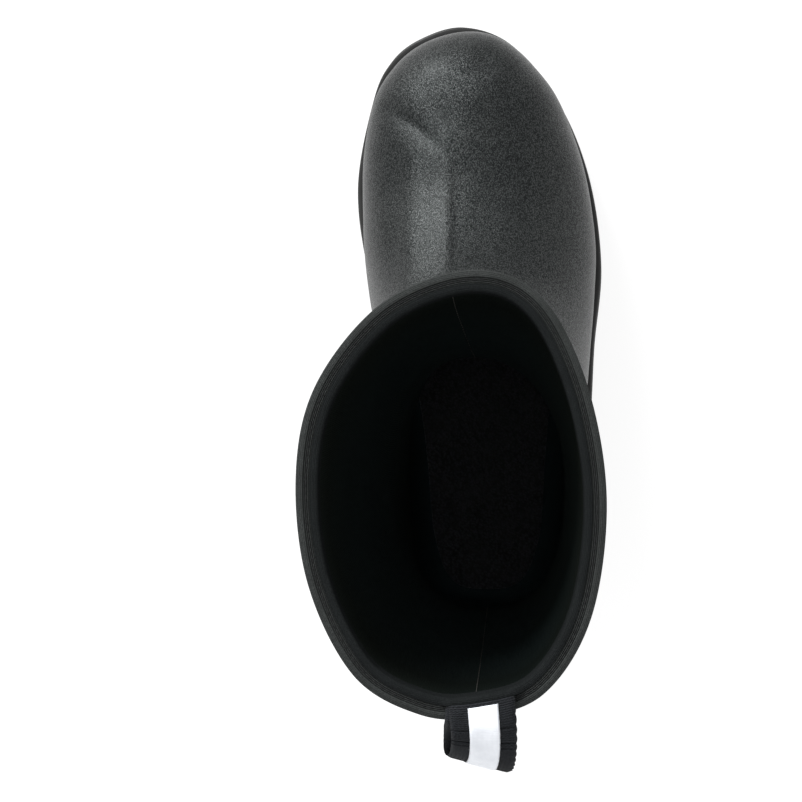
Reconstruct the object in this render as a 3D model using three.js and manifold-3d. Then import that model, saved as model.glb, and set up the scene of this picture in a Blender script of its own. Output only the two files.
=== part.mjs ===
// A calf-high stable boot for the right foot: a sewn neoprene bootie inside a moulded rubber shell, on a
// lugged rubber outsole, with a knitted topline binding, a webbing pull loop and a loose footbed.
//
// Millimetres, +Z up. The toe points along -Y and the inner (medial) side of the foot is +X.
// The shape is lofted through stations that start at the toe, fan round the ankle and rise up the shaft.
// Every layer of the boot is that one surface, pushed in or out by the layer's depth.

import * as THREE from "three";
import { mergeVertices } from "three/addons/utils/BufferGeometryUtils.js";
import Module from "manifold-3d";

const wasm = await Module();
wasm.setup();

// ---------------------------------------------------------------------------------------------
// Driving dimensions
// ---------------------------------------------------------------------------------------------

// Depths from the neoprene's outer face: positive is outwards.
const GAP = 0.3;
const NEOPRENE = 3.5;
const LINING = 0.8;
const STIFFENER = 0.9;
const RUBBER = 2.2;
const SEAM_TAPE = 1.0;
const FRONT_TAPE_HALF_ANGLE = 0.16;
const REAR_TAPE_HALF_ANGLE = 0.2;
const WALL = NEOPRENE + GAP + LINING;

// The stack under the foot. FLOOR is the height of the bootie's underside at the ball of the foot.
const FLOOR = 17;
const FLOOR_HEEL_RISE = 14;
const OUTSOLE_TOP = 9;
const OUTSOLE_HEEL_RISE = 11;
const TOE_SPRING = 10;
const BALL_Y = -115;
const TOE_SPAN = 72;
const LUG_DEPTH = 4.5;
const HEEL_LUG_DEPTH = 6;
const ARCH_LIFT = 5;
const HEEL_BREAST_Y = 22;
const BOARD = 1.8;
const BOARD_INSET = 13;
const FOXING = 2.4;
const FOXING_INSET = 1.2;
const FOXING_RISE = 9;
const MIDSOLE_CLEAR = 0.4;
const FOOTBED = 4.2;
const FOOTBED_COVER = 1;
const FOOTBED_CLEAR = { under: 0.5, side: 0.7 };

// The tread's blocks: those round the edge, by their insets from the outline, and the chevrons.
const EDGE_LUG = { pitch: 17, length: 12.5, outer: 1.5, inner: 15 };
const CHEVRON_LUG = { thick: 8, half: 19, sweep: 8, clear: 3.5 };
const CHEVRON_ROWS = [-160, -143, -126, -109, -92, -75, -58, 36, 53];

// The steel shank under the arch.
const SHANK = { width: 18, thickness: 1.4, x: 5, front: -60, rear: 42 };

// The ankle hinge, and the wedges that open between the foot and the shaft when it bends.
const ANKLE = { y: 18, z: 160 };
const FORWARD_HALF_WEDGE = THREE.MathUtils.degToRad(10.5);
const BACKWARD_HALF_WEDGE = THREE.MathUtils.degToRad(5.5);
const FLEX_HALF_GAP = 2.5;

// The knitted tape over the topline, and the smooth facing that meets it on the inside.
const BINDING = 1.2;
const TAPE_LEG = 0.36;
const FACING_LEG = 0.3;
const TAPE_REACH = 3.2;
const EDGE_ROUND = 0.6;

// The pull loop: both ends of one webbing are held in the seam between the tape and the facing.
// The fold is where the loop turns back, [x, y] at its inner and outer sides.
const LOOP = { width: 22.2, thickness: 1.4, x: 4.65, stripe: 9.8, stripeThickness: 0.4, drift: 1.9 };
const LOOP_FOLD = [[15.8, 108.2], [-6.4, 114.4]];

// The loft's stations. Each is a slice with a front or top point, [y, z, x], and a rear or bottom point,
// [y, rise above the floor, x]; then the inner and outer limits of its width, the share of the way from
// rear to front where it is widest, and the roundness of its front and rear halves, where 2 is an
// ellipse and more is squarer.
const STATIONS = [
  { front: [-186.5, 44, 12], rear: [-186.5, 17.1, 12], width: [12, 12], widest: 0.45, power: [2.2, 2.6] },
  { front: [-184.8, 55, 12], rear: [-184.8, 5.6, 12], width: [24, 2], widest: 0.45, power: [2.2, 2.6] },
  { front: [-179.6, 63, 12.5], rear: [-179.6, 1.9, 11], width: [36, -6.8], widest: 0.42, power: [2.2, 3] },
  { front: [-171, 69, 13], rear: [-171, 0, 10], width: [45.4, -15.6], widest: 0.4, power: [2.2, 3.4] },
  { front: [-158, 73, 14], rear: [-158, 0, 9], width: [53.2, -25.4], widest: 0.38, power: [2.15, 4] },
  { front: [-137, 76, 15], rear: [-137, 0, 8.5], width: [57.7, -34.3], widest: 0.36, power: [2.1, 4.6] },
  { front: [-114, 81, 16], rear: [-114, 0, 8], width: [59.4, -40.9], widest: 0.34, power: [2.05, 5] },
  { front: [-90, 91, 17], rear: [-90, 0, 7.5], width: [59, -44], widest: 0.31, power: [2, 5] },
  { front: [-70, 105, 17], rear: [-62, 0, 7], width: [55.9, -43], widest: 0.29, power: [1.9, 5] },
  { front: [-57, 121, 16], rear: [-34, 0, 6], width: [50.8, -40.8], widest: 0.3, power: [1.9, 4.6] },
  { front: [-49, 134, 14], rear: [6, 0, 5], width: [45.5, -38], widest: 0.36, power: [2, 4.4] },
  { front: [-44, 145, 12], rear: [46, 0, 4.4], width: [43, -36], widest: 0.42, power: [2.1, 4.2] },
  { front: [-41.5, 153, 10], rear: [74.5, 8, 4.4], width: [42, -34.8], widest: 0.47, power: [2.2, 3.4] },
  { front: [-40, 160, 9], rear: [80.4, 31, 4.4], width: [42, -34], widest: 0.5, power: [2.25, 2.8] },
  { front: [-39, 168, 9], rear: [79.2, 59, 4.4], width: [43, -33.5], widest: 0.5, power: [2.25, 2.5] },
  { front: [-38.5, 177, 9], rear: [76.6, 88, 4.4], width: [44.5, -33], widest: 0.5, power: [2.2, 2.35] },
  { front: [-38.5, 190, 9.5], rear: [76.5, 118, 4.6], width: [46.5, -32.5], widest: 0.5, power: [2.2, 2.3] },
  { front: [-40, 207, 10.5], rear: [79, 149, 5], width: [49.5, -32.5], widest: 0.5, power: [2.15, 2.25] },
  { front: [-43, 230, 12], rear: [82.5, 181, 5.5], width: [53.5, -33], widest: 0.5, power: [2.15, 2.2] },
  { front: [-47, 258, 14], rear: [86.5, 216, 6], width: [58, -34], widest: 0.5, power: [2.15, 2.2] },
  { front: [-51.5, 287, 15.5], rear: [90, 250, 6.5], width: [62.5, -35.2], widest: 0.5, power: [2.15, 2.2] },
  { front: [-55.1, 315, 17], rear: [91.5, 284, 6.8], width: [66.3, -36.4], widest: 0.5, power: [2.15, 2.2] },
];
const LAST = STATIONS.length - 1;

// The facets' rows and columns: every layer of the loft uses the same ones, so their gaps stay even.
const ROWS = [
  0, 0.4, 0.9, 1.5, 2.2, 3, 4, 5, 6, 7, 8, 9, 10, 10.5, 11, 11.5, 12, 12.5, 13,
  14, 15, 16, 17, 18, 19, 20, 21,
];
const COLUMNS = 24;

// How far the cutting blocks reach: past the toe, the heel, the sole, the inner side and the outer side.
const REACH = { front: -230, rear: 130, below: -60, inner: 130, outer: -110 };

// Where the layers end, as lines in side view, [y, z].
const SHELL_TOP = [[-230, 170], [-60, 160], [-43, 150.5], [-20, 134], [0, 122], [19, 115], [45, 112.5],
  [76, 114], [130, 117]];
const TOE_PUFF = { lastRow: 5, back: -139, rise: 6 };
const COUNTER = { rows: [11, 14], columns: [7, 17], top: 106, rise: 5 };

// The topline in plan, [x, y], from the front seam round the inner side to the rear seam and back.
const TOPLINE = [
  [17, -55.2], [41, -43], [60.6, -16.8], [66.5, 13.2], [62.3, 48.4], [47.2, 78.4], [26, 90.9],
  [6.8, 91.9], [-15, 84.3], [-30.4, 60], [-35.9, 23], [-31.2, -12.4], [-19.3, -41.4], [-3.7, -54.7],
];
const TOPLINE_BLEND = [14, LAST];

// The outsole in plan, [x, y], from the toe round the inner side, the heel and the outer side.
const SOLE = [
  [14.8, -195.2], [35.5, -190.2], [49.8, -179.6], [59, -161], [66.6, -118], [59, -67.5], [47, -10], [44, 42],
  [31, 77], [5, 87], [-21, 77], [-37, 42], [-44.5, -5], [-47.2, -45], [-50.7, -84], [-45.1, -125],
  [-30.8, -160], [-8.4, -186.7],
];

// ---------------------------------------------------------------------------------------------
// Heights along the sole
// ---------------------------------------------------------------------------------------------

const clamp01 = (x) => Math.min(1, Math.max(0, x));
const smooth = (x) => clamp01(x) ** 2 * (3 - 2 * clamp01(x));
const between = (x, low, high) => smooth((x - low) / (high - low));

const spring = (y) => TOE_SPRING * Math.max(0, (BALL_Y - y) / TOE_SPAN) ** 2;
const heelRise = (y) => between(y, -80, 30);
const floorAt = (y) => FLOOR + FLOOR_HEEL_RISE * heelRise(y) + spring(y);
const outsoleTopAt = (y) => OUTSOLE_TOP + OUTSOLE_HEEL_RISE * heelRise(y) + spring(y);
const heelBlock = (y) => between(y, HEEL_BREAST_Y - 3, HEEL_BREAST_Y + 3);

function lugRootAt(y) {
  const arch = ARCH_LIFT * between(y, -52, -30) * (1 - heelBlock(y));
  return LUG_DEPTH + (HEEL_LUG_DEPTH - LUG_DEPTH) * heelBlock(y) + arch + spring(y);
}

// ---------------------------------------------------------------------------------------------
// Curves
// ---------------------------------------------------------------------------------------------

function catmull(a, b, c, d, s) {
  const line = (c - a) * s;
  const square = (2 * a - 5 * b + 4 * c - d) * s * s;
  const cube = (3 * b - a - 3 * c + d) * s * s * s;
  return b + (line + square + cube) / 2;
}

// The station before the toe's tip mirrors the one after it, so that the nose closes round.
const TIP_HEIGHT = STATIONS[0].front[1] - STATIONS[0].rear[1];
const NOSE_MIRROR = {
  ...STATIONS[1],
  front: [STATIONS[1].front[0], STATIONS[1].rear[1] + TIP_HEIGHT, 12],
  rear: [STATIONS[1].rear[0], STATIONS[1].front[1] - TIP_HEIGHT, 12],
  width: [STATIONS[1].width[1], STATIONS[1].width[0]],
};

function stationValue(pick, t) {
  const i = Math.min(LAST - 1, Math.max(0, Math.floor(t)));
  const before = i > 0 ? pick(STATIONS[i - 1]) : pick(NOSE_MIRROR);
  const b = pick(STATIONS[i]);
  const c = pick(STATIONS[i + 1]);
  const after = i + 2 <= LAST ? pick(STATIONS[i + 2]) : 2 * c - b;
  return catmull(before, b, c, after, t - i);
}

function slice(t) {
  const triple = (name) => [0, 1, 2].map((k) => stationValue((s) => s[name][k], t));
  const [y, rise, x] = triple("rear");
  return {
    front: triple("front"),
    rear: [y, floorAt(y) + (t > 2 ? Math.max(0, rise) : rise), x],
    width: [0, 1].map((k) => stationValue((s) => s.width[k], t)),
    widest: stationValue((s) => s.widest, t),
    power: [0, 1].map((k) => stationValue((s) => s.power[k], t)),
  };
}

// A closed curve through plan points; u runs from 0 to 1 round it.
function closedCurve(points, u) {
  const n = points.length;
  const at = ((u % 1) + 1) % 1 * n;
  const i = Math.floor(at);
  const p = (k) => points[(i + k + n) % n];
  return [0, 1].map((k) => catmull(p(-1)[k], p(0)[k], p(1)[k], p(2)[k], at - i));
}

// ---------------------------------------------------------------------------------------------
// The boot's surface: the neoprene's outer face
// ---------------------------------------------------------------------------------------------

// A point of the surface. angle is 0 at the front or top, and half a turn at the rear or bottom.
function surface(t, angle) {
  const { front, rear, width, widest, power } = slice(t);
  const c = Math.cos(angle);
  const s = Math.sin(angle);
  const n = c >= 0 ? power[0] : power[1];
  const along = Math.sign(c) * Math.abs(c) ** (2 / n);
  const across = Math.abs(s) ** (2 / n);
  const middle = (width[0] + width[1]) / 2;
  const shift = (c >= 0 ? front[2] : rear[2]) - middle;
  const side = s >= 0 ? width[0] - middle : width[1] - middle;
  const share = widest + along * (c >= 0 ? 1 - widest : widest);
  const p = new THREE.Vector3(
    middle + shift * along * along + side * across,
    rear[0] + (front[0] - rear[0]) * share,
    rear[1] + (front[1] - rear[1]) * share,
  );
  const blend = between(t, ...TOPLINE_BLEND);
  if (blend > 0) {
    const [x, y] = closedCurve(TOPLINE, angle / (2 * Math.PI));
    p.x += (x - p.x) * blend * blend;
    p.y += (y - p.y) * blend * blend;
  }
  return p;
}

// The surface pushed out by depth along its normal.
function layer(t, angle, depth) {
  const dt = 0.02;
  const da = 0.01;
  const from = Math.max(0, t - dt);
  const to = Math.min(LAST, t + dt);
  const p = surface(t, angle);
  if (t < dt / 2) return p.add(new THREE.Vector3(0, -depth, 0));
  const along = surface(to, angle).sub(surface(from, angle));
  const round = surface(t, angle + da).sub(surface(t, angle - da));
  return p.addScaledVector(along.cross(round).normalize(), -depth);
}

// ---------------------------------------------------------------------------------------------
// Outlines in plan
// ---------------------------------------------------------------------------------------------

const OUTLINE_POINTS = 180;

function sampled(curve, count = OUTLINE_POINTS) {
  return Array.from({ length: count }, (_, i) => curve(i / count));
}

// The outline moved inwards by inset, along its own normals.
function insetOutline(points, inset) {
  const n = points.length;
  return points.map(([x, y], i) => {
    const [ax, ay] = points[(i + n - 1) % n];
    const [bx, by] = points[(i + 1) % n];
    const length = Math.hypot(bx - ax, by - ay);
    return [x - ((by - ay) / length) * inset, y + ((bx - ax) / length) * inset];
  });
}

const soleOutline = (inset) => insetOutline(sampled((u) => closedCurve(SOLE, u)), inset);

// An outline as inner and outer x at each y.
function outlineLimits(points) {
  const ys = points.map((p) => p[1]);
  const [front, rear] = [Math.min(...ys), Math.max(...ys)];
  const crossings = (y) => {
    const found = [];
    points.forEach((p, i) => {
      const q = points[(i + 1) % points.length];
      if (p[1] === q[1] || (p[1] - y) * (q[1] - y) > 0) return;
      found.push(p[0] + ((q[0] - p[0]) * (y - p[1])) / (q[1] - p[1]));
    });
    return [Math.max(...found), Math.min(...found)];
  };
  return { front, rear, crossings };
}

// ---------------------------------------------------------------------------------------------
// Closed meshes
// ---------------------------------------------------------------------------------------------

// A geometry of merged triangles with its faces pointing out.
function closedGeometry(triangles) {
  const key = (p) => p.toArray().map((x) => x.toFixed(4)).join();
  const kept = triangles.filter(([a, b, c]) => new Set([a, b, c].map(key)).size === 3);
  const volume = kept.reduce((sum, [a, b, c]) => sum + a.dot(b.clone().cross(c)), 0);
  const facing = volume < 0 ? kept.map(([a, b, c]) => [a, c, b]) : kept;
  const flat = facing.flatMap((corners) => corners.flatMap((p) => p.toArray()));
  const raw = new THREE.BufferGeometry();
  raw.setAttribute("position", new THREE.Float32BufferAttribute(flat, 3));
  return mergeVertices(raw, 1e-3);
}

function pushQuad(triangles, a, b, c, d) {
  triangles.push([a, b, c], [a, c, d]);
}

const grid = (nu, nv, point) =>
  Array.from({ length: nv + 1 }, (_, j) => Array.from({ length: nu + 1 }, (_, i) => point(i / nu, j / nv)));

// A skin with two faces, outer(u, v) and inner(u, v), closed along its borders. wrap closes u on itself.
function skin(nu, nv, outer, inner, wrap = false) {
  const close = (rows) => (wrap ? rows.map((row) => [...row.slice(0, -1), row[0]]) : rows);
  const a = close(grid(nu, nv, outer));
  const b = close(grid(nu, nv, inner));
  const triangles = [];
  for (let j = 0; j < nv; j++)
    for (let i = 0; i < nu; i++) {
      pushQuad(triangles, a[j][i], a[j][i + 1], a[j + 1][i + 1], a[j + 1][i]);
      pushQuad(triangles, b[j][i], b[j + 1][i], b[j + 1][i + 1], b[j][i + 1]);
    }
  for (let i = 0; i < nu; i++) {
    pushQuad(triangles, a[0][i], b[0][i], b[0][i + 1], a[0][i + 1]);
    pushQuad(triangles, a[nv][i], a[nv][i + 1], b[nv][i + 1], b[nv][i]);
  }
  if (!wrap)
    for (let j = 0; j < nv; j++) {
      pushQuad(triangles, a[j][0], a[j + 1][0], b[j + 1][0], b[j][0]);
      pushQuad(triangles, a[j][nu], b[j][nu], b[j + 1][nu], a[j + 1][nu]);
    }
  return closedGeometry(triangles);
}

// A closed ring whose section at each turn u is the closed list of points section(u).
function ring(nu, section) {
  const rows = Array.from({ length: nu }, (_, i) => section(i / nu));
  const triangles = [];
  rows.forEach((row, i) => {
    const next = rows[(i + 1) % nu];
    row.forEach((p, k) => {
      const m = (k + 1) % row.length;
      pushQuad(triangles, p, next[k], next[m], row[m]);
    });
  });
  return closedGeometry(triangles);
}

// A plate over an outline, with a top height and a bottom height at each y.
function plate(nu, nv, outline, topAt, bottomAt) {
  const { front, rear, crossings } = outlineLimits(outline);
  const face = (heightAt) => (u, v) => {
    const y = (front + rear) / 2 - ((rear - front) / 2) * Math.cos(Math.PI * v);
    if (v === 0 || v === 1) {
      const tip = outline.find((p) => p[1] === (v ? rear : front));
      return new THREE.Vector3(tip[0], tip[1], heightAt(tip[1]));
    }
    const [inner, outer] = crossings(y);
    return new THREE.Vector3(outer + (inner - outer) * u, y, heightAt(y));
  };
  return skin(nu, nv, face(topAt), face(bottomAt));
}

function toManifold(geometry) {
  return new wasm.Manifold(
    new wasm.Mesh({
      numProp: 3,
      vertProperties: geometry.attributes.position.array,
      triVerts: new Uint32Array(geometry.index.array),
    }),
  );
}

function fromManifold(solid) {
  const mesh = solid.getMesh();
  const geometry = new THREE.BufferGeometry();
  geometry.setAttribute("position", new THREE.BufferAttribute(new Float32Array(mesh.vertProperties), 3));
  geometry.setIndex(new THREE.BufferAttribute(new Uint32Array(mesh.triVerts), 1));
  return geometry;
}

// ---------------------------------------------------------------------------------------------
// Layers of the loft, and the blocks that trim them
// ---------------------------------------------------------------------------------------------

const lerp = (a, b, s) => a + (b - a) * s;
const columnAngle = (i) => (2 * Math.PI * i) / COLUMNS;
const rowsBetween = (low, high) => ROWS.filter((t) => t >= low && t <= high);
const wholeTurn = Array.from({ length: COLUMNS + 1 }, (_, i) => columnAngle(i));
const depthAt = (depth, t, angle) => (typeof depth === "number" ? depth : depth(t, angle));

// A layer over some rows and angles, from the depth of its outer face to the depth of its inner face.
function coat(out, inn, rows, angles = wholeTurn) {
  const [nu, nv] = [angles.length - 1, rows.length - 1];
  const face = (depth) => (u, v) => {
    const angle = angles[Math.round(u * nu)];
    const t = rows[Math.round(v * nv)];
    return layer(t, angle, depthAt(depth, t, angle));
  };
  return toManifold(skin(nu, nv, face(out), face(inn), angles === wholeTurn));
}

// The solid inside the loft at a depth, closed across its last row.
function core(depth, rows) {
  const point = (t, angle) => layer(t, angle, depthAt(depth, t, angle));
  const rings = rows.map((t) => wholeTurn.slice(0, -1).map((angle) => point(t, angle)));
  const triangles = [];
  const next = (ring, i) => ring[(i + 1) % ring.length];
  rings.slice(0, -1).forEach((ring, j) => {
    ring.forEach((p, i) => pushQuad(triangles, p, next(ring, i), next(rings[j + 1], i), rings[j + 1][i]));
  });
  const last = rings[rings.length - 1];
  const centre = last.reduce((sum, p) => sum.add(p), new THREE.Vector3()).divideScalar(last.length);
  last.forEach((p, i) => triangles.push([p, next(last, i), centre]));
  return toManifold(closedGeometry(triangles));
}

// A block right across the boot, over a polygon in side view.
function sideBlock(points) {
  const shape = new THREE.Shape(points.map(([y, z]) => new THREE.Vector2(y, z)));
  const depth = REACH.inner - REACH.outer;
  const geometry = new THREE.ExtrudeGeometry(shape, { depth, bevelEnabled: false });
  geometry.deleteAttribute("normal");
  geometry.deleteAttribute("uv");
  const merged = mergeVertices(geometry, 1e-3);
  const position = merged.attributes.position;
  for (let i = 0; i < position.count; i++)
    position.setXYZ(i, position.getZ(i) + REACH.outer, position.getX(i), position.getY(i));
  return toManifold(merged);
}

// Everything under a height that follows the floor.
function underFloor(rise) {
  const { front, rear, below } = REACH;
  const steps = 72;
  const top = Array.from({ length: steps + 1 }, (_, i) => lerp(rear, front, i / steps));
  return sideBlock([[front, below], [rear, below], ...top.map((y) => [y, floorAt(y) + rise])]);
}

// The two wedges that meet at the ankle hinge: side -1 is the foot's edge and +1 is the shaft's.
function flexBlock(side, clear = 0) {
  const edge = (y) => {
    const slope = Math.tan(y < ANKLE.y ? FORWARD_HALF_WEDGE : BACKWARD_HALF_WEDGE);
    return [y, ANKLE.z + side * (FLEX_HALF_GAP + slope * Math.abs(y - ANKLE.y) + clear)];
  };
  const far = side < 0 ? -60 : 400;
  return sideBlock([edge(-300), edge(ANKLE.y), edge(300), [300, far], [-300, far]]);
}

// ---------------------------------------------------------------------------------------------
// Sub-parts
// ---------------------------------------------------------------------------------------------

// A prism over a small plan polygon, between two heights that follow the sole.
function block(points, topAt, bottomAt) {
  const shape = new THREE.Shape(points.map(([x, y]) => new THREE.Vector2(x, y)));
  const geometry = new THREE.ExtrudeGeometry(shape, { depth: 1, bevelEnabled: false });
  geometry.deleteAttribute("normal");
  geometry.deleteAttribute("uv");
  const merged = mergeVertices(geometry, 1e-3);
  const position = merged.attributes.position;
  for (let i = 0; i < position.count; i++) {
    const y = position.getY(i);
    position.setZ(i, position.getZ(i) > 0.5 ? topAt(y) : bottomAt(y));
  }
  return merged;
}

// The tread: blocks round the edge, and chevrons down the middle of the forefoot and the heel.
function lugs() {
  const [edge, chevron] = [EDGE_LUG, CHEVRON_LUG];
  const outer = soleOutline(edge.outer);
  const inner = soleOutline(edge.inner);
  const steps = [0];
  outer.forEach(([x, y], i) => {
    const [qx, qy] = outer[(i + 1) % outer.length];
    steps.push(steps[i] + Math.hypot(qx - x, qy - y));
  });
  const around = steps[steps.length - 1];
  const count = Math.round(around / edge.pitch);
  const at = (outline, s) => {
    const reach = ((s % around) + around) % around;
    const i = Math.max(0, steps.findIndex((step) => step > reach) - 1);
    const share = (reach - steps[i]) / (steps[i + 1] - steps[i]);
    const [p, q] = [outline[i], outline[(i + 1) % outline.length]];
    return [lerp(p[0], q[0], share), lerp(p[1], q[1], share)];
  };
  const polygons = [];
  for (let k = 0; k < count; k++) {
    const from = (around * k) / count;
    const to = from + edge.length;
    polygons.push([
      at(outer, from), at(outer, (from + to) / 2), at(outer, to), at(inner, to), at(inner, from),
    ]);
  }
  const limits = outlineLimits(soleOutline(edge.inner + chevron.clear));
  for (const y of CHEVRON_ROWS) {
    const [right, left] = limits.crossings(y);
    const middle = (right + left) / 2;
    const half = Math.min(chevron.half, (right - left) / 2);
    polygons.push([
      [middle - half, y + chevron.sweep], [middle, y], [middle + half, y + chevron.sweep],
      [middle + half, y + chevron.sweep + chevron.thick], [middle, y + chevron.thick],
      [middle - half, y + chevron.sweep + chevron.thick],
    ]);
  }
  const onTread = (polygon) => polygon.every(([, y]) => y < -46 || y > HEEL_BREAST_Y + 2);
  return polygons.filter(onTread).map((p) => block(p, (y) => lugRootAt(y) + 1, spring));
}

function outsole() {
  const outline = soleOutline(0);
  const body = toManifold(plate(6, 26, outline, outsoleTopAt, lugRootAt));
  return fromManifold(lugs().reduce((solid, lug) => solid.add(toManifold(lug)), body));
}

const shankTop = (y) => floorAt(y) - BOARD - 3 * GAP;

// The shank, or, grown, the pocket for it, which is open through the top of the midsole.
function shankPlate(grow) {
  const open = grow ? 5 : 0;
  const half = SHANK.width / 2 + grow;
  const x = (u) => SHANK.x - half + 2 * half * u;
  const y = (v) => lerp(SHANK.front - grow, SHANK.rear + grow, v);
  const top = (u, v) => new THREE.Vector3(x(u), y(v), shankTop(y(v)) + open);
  const bottom = (u, v) => new THREE.Vector3(x(u), y(v), shankTop(y(v)) - SHANK.thickness - grow);
  return skin(1, 10, top, bottom);
}

function midsole() {
  const outline = soleOutline(FOXING_INSET + FOXING + MIDSOLE_CLEAR);
  const top = (y) => floorAt(y) - BOARD - 2 * GAP;
  const body = plate(6, 24, outline, top, (y) => outsoleTopAt(y) + GAP);
  return fromManifold(toManifold(body).subtract(toManifold(shankPlate(GAP))));
}

function insoleBoard() {
  const outline = soleOutline(BOARD_INSET);
  return plate(4, 20, outline, (y) => floorAt(y) - GAP, (y) => floorAt(y) - GAP - BOARD);
}

// How far the shell stands off the neoprene, with room for the toe puff and the heel counter.
function shellInner(t, angle) {
  const toe = 1 - clamp01(t - TOE_PUFF.lastRow);
  const column = (Math.min(angle, 2 * Math.PI - angle) / (2 * Math.PI)) * COLUMNS;
  const sides = clamp01(column - COUNTER.columns[0] + 1);
  const [low, high] = COUNTER.rows;
  const rise = Math.min(clamp01((t - low) * 2 + 1), clamp01(high + 1 - t));
  return GAP + (STIFFENER + GAP) * Math.max(toe, sides * rise);
}

// The shell's rows as a solid shape: its outer face is grown by clear to cut room for it.
function shellBody(clear = 0) {
  const outer = (t, angle) => shellInner(t, angle) + RUBBER + clear;
  const rows = rowsBetween(0, 16);
  const bulk = clear ? core(outer, rows) : coat(outer, shellInner, rows);
  const { front, rear, below } = REACH;
  return bulk.intersect(sideBlock([[front, below], [rear, below], ...[...SHELL_TOP].reverse()]));
}

const rubberShell = () => fromManifold(shellBody().subtract(underFloor(1)));

// The raised band round the top of the outsole, fitted to the shell.
function foxingBand() {
  const low = (y) => outsoleTopAt(y) + GAP;
  const high = (y) => floorAt(y) + FOXING_RISE;
  const wall = plateSolid(FOXING_INSET, low, high).subtract(
    plateSolid(FOXING_INSET + FOXING, (y) => low(y) - 5, (y) => high(y) + 5),
  );
  return fromManifold(wall.subtract(shellBody(GAP)));
}

const plateSolid = (inset, low, high) => toManifold(plate(1, 38, soleOutline(inset), high, low));

function toePuff() {
  const dome = coat(GAP + STIFFENER, GAP, rowsBetween(0, TOE_PUFF.lastRow));
  const [front, back, low, high] = [REACH.front, TOE_PUFF.back, REACH.below, 120];
  const region = sideBlock([[front, low], [back, low], [back, high], [front, high]]);
  return fromManifold(dome.intersect(region).subtract(underFloor(TOE_PUFF.rise)));
}

function heelCounter() {
  const angles = wholeTurn.slice(COUNTER.columns[0], COUNTER.columns[1] + 1);
  const wall = coat(GAP + STIFFENER, GAP, rowsBetween(...COUNTER.rows), angles);
  const [front, back, low, high] = [-60, REACH.rear, REACH.below, COUNTER.top];
  const region = sideBlock([[front, low], [back, low], [back, high], [front, high]]);
  return fromManifold(wall.intersect(region).subtract(underFloor(COUNTER.rise)));
}

const footLayer = (out, inn) => fromManifold(coat(out, inn, rowsBetween(0, 17)).intersect(flexBlock(-1)));
const shaftRows = rowsBetween(14, LAST);
const shaftLining = () =>
  fromManifold(coat(-NEOPRENE - GAP, -WALL, shaftRows).intersect(flexBlock(1)));

// The soft V between the foot and the shaft.
function ankleGusset() {
  const band = coat(0, -WALL, rowsBetween(11, 18));
  return fromManifold(band.subtract(flexBlock(-1, -GAP)).subtract(flexBlock(1, -GAP)));
}

// One half of the shaft, from the front seam to the rear seam.
function shaftPanel(side) {
  const seam = 0.006;
  const half = COLUMNS / 2;
  const angles = wholeTurn.slice(side > 0 ? 0 : half, (side > 0 ? half : COLUMNS) + 1);
  angles[0] += seam;
  angles[half] -= seam;
  return fromManifold(coat(0, -NEOPRENE, shaftRows, angles).intersect(flexBlock(1)));
}

function seamTape(angle, halfAngle) {
  const angles = [-1, -0.33, 0.33, 1].map((k) => angle + k * halfAngle);
  const rows = [...shaftRows.slice(0, -1), LAST - TAPE_LEG - 0.05];
  return fromManifold(coat(GAP + SEAM_TAPE, GAP, rows, angles).intersect(flexBlock(1, 4)));
}

// The topline's ring at a share of a row below it: points are [rows down, depth, height added].
function toplineRing(points) {
  const lift = new THREE.Vector3(0, 0, 1);
  const place = (u, [down, depth, rise]) =>
    layer(LAST - down, 2 * Math.PI * u, depth).addScaledVector(lift, rise);
  return ring(COLUMNS, (u) => points.map((point) => place(u, point)));
}

// The knitted tape: up the outside of the topline and most of the way over it.
function collarTape() {
  const [low, high] = [GAP, GAP + BINDING];
  return toplineRing([
    [TAPE_LEG, low, 0], [TAPE_LEG, high, 0], [0, high, 0], [0, low + EDGE_ROUND, high],
    [0, -TAPE_REACH, high], [0, -TAPE_REACH, low], [0, low, low],
  ]);
}

// The facing: from the tape's edge over the rest of the topline and down the inside.
function collarFacing() {
  const [low, high] = [GAP, GAP + BINDING];
  const inner = -WALL - GAP;
  return toplineRing([
    [0, -TAPE_REACH - GAP, low], [0, -TAPE_REACH - GAP, high], [0, inner - EDGE_ROUND, high],
    [0, inner - BINDING, 0], [FACING_LEG, inner - BINDING, 0], [FACING_LEG, inner, 0], [0, inner, low],
  ]);
}

// The footbed and its cover: slabs of the bootie's inside, with room to lift out.
function footbedSlab(low, high) {
  const floor = WALL + FOOTBED_CLEAR.under;
  const inside = core(-WALL - FOOTBED_CLEAR.side, rowsBetween(0, 13));
  return fromManifold(inside.intersect(underFloor(floor + high)).subtract(underFloor(floor + low)));
}

// ---------------------------------------------------------------------------------------------
// The pull loop
// ---------------------------------------------------------------------------------------------

// The webbing's centreline, [outward from the tape's outer face, height]: out along the top, round the
// fold and back underneath.
const LOOP_PATH = new THREE.CatmullRomCurve3(
  [
    [-4.1, 319.3], [-0.5, 319.4], [4.5, 318.6], [10, 315.6], [14.6, 310.6], [17.6, 304.6], [18.4, 299.4],
    [16.6, 296.4], [12.4, 296.6], [7.8, 299.8], [4.6, 305], [2.9, 310.6], [1.9, 315.2], [0.1, 317.4],
    [-4.1, 317.6],
  ].map(([y, z]) => new THREE.Vector3(0, y, z)),
);
const LOOP_REACH = 18.4;
const LOOP_TURN = 0.5;

// The y of the tape's outer face at the back of the topline, at one x.
function rearWall(x) {
  let [low, high] = [Math.PI - 0.7, Math.PI + 0.9];
  for (let i = 0; i < 30; i++) {
    const angle = (low + high) / 2;
    if (layer(LAST, angle, GAP + BINDING).x > x) low = angle;
    else high = angle;
  }
  return layer(LAST, low, GAP + BINDING).y;
}

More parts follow.
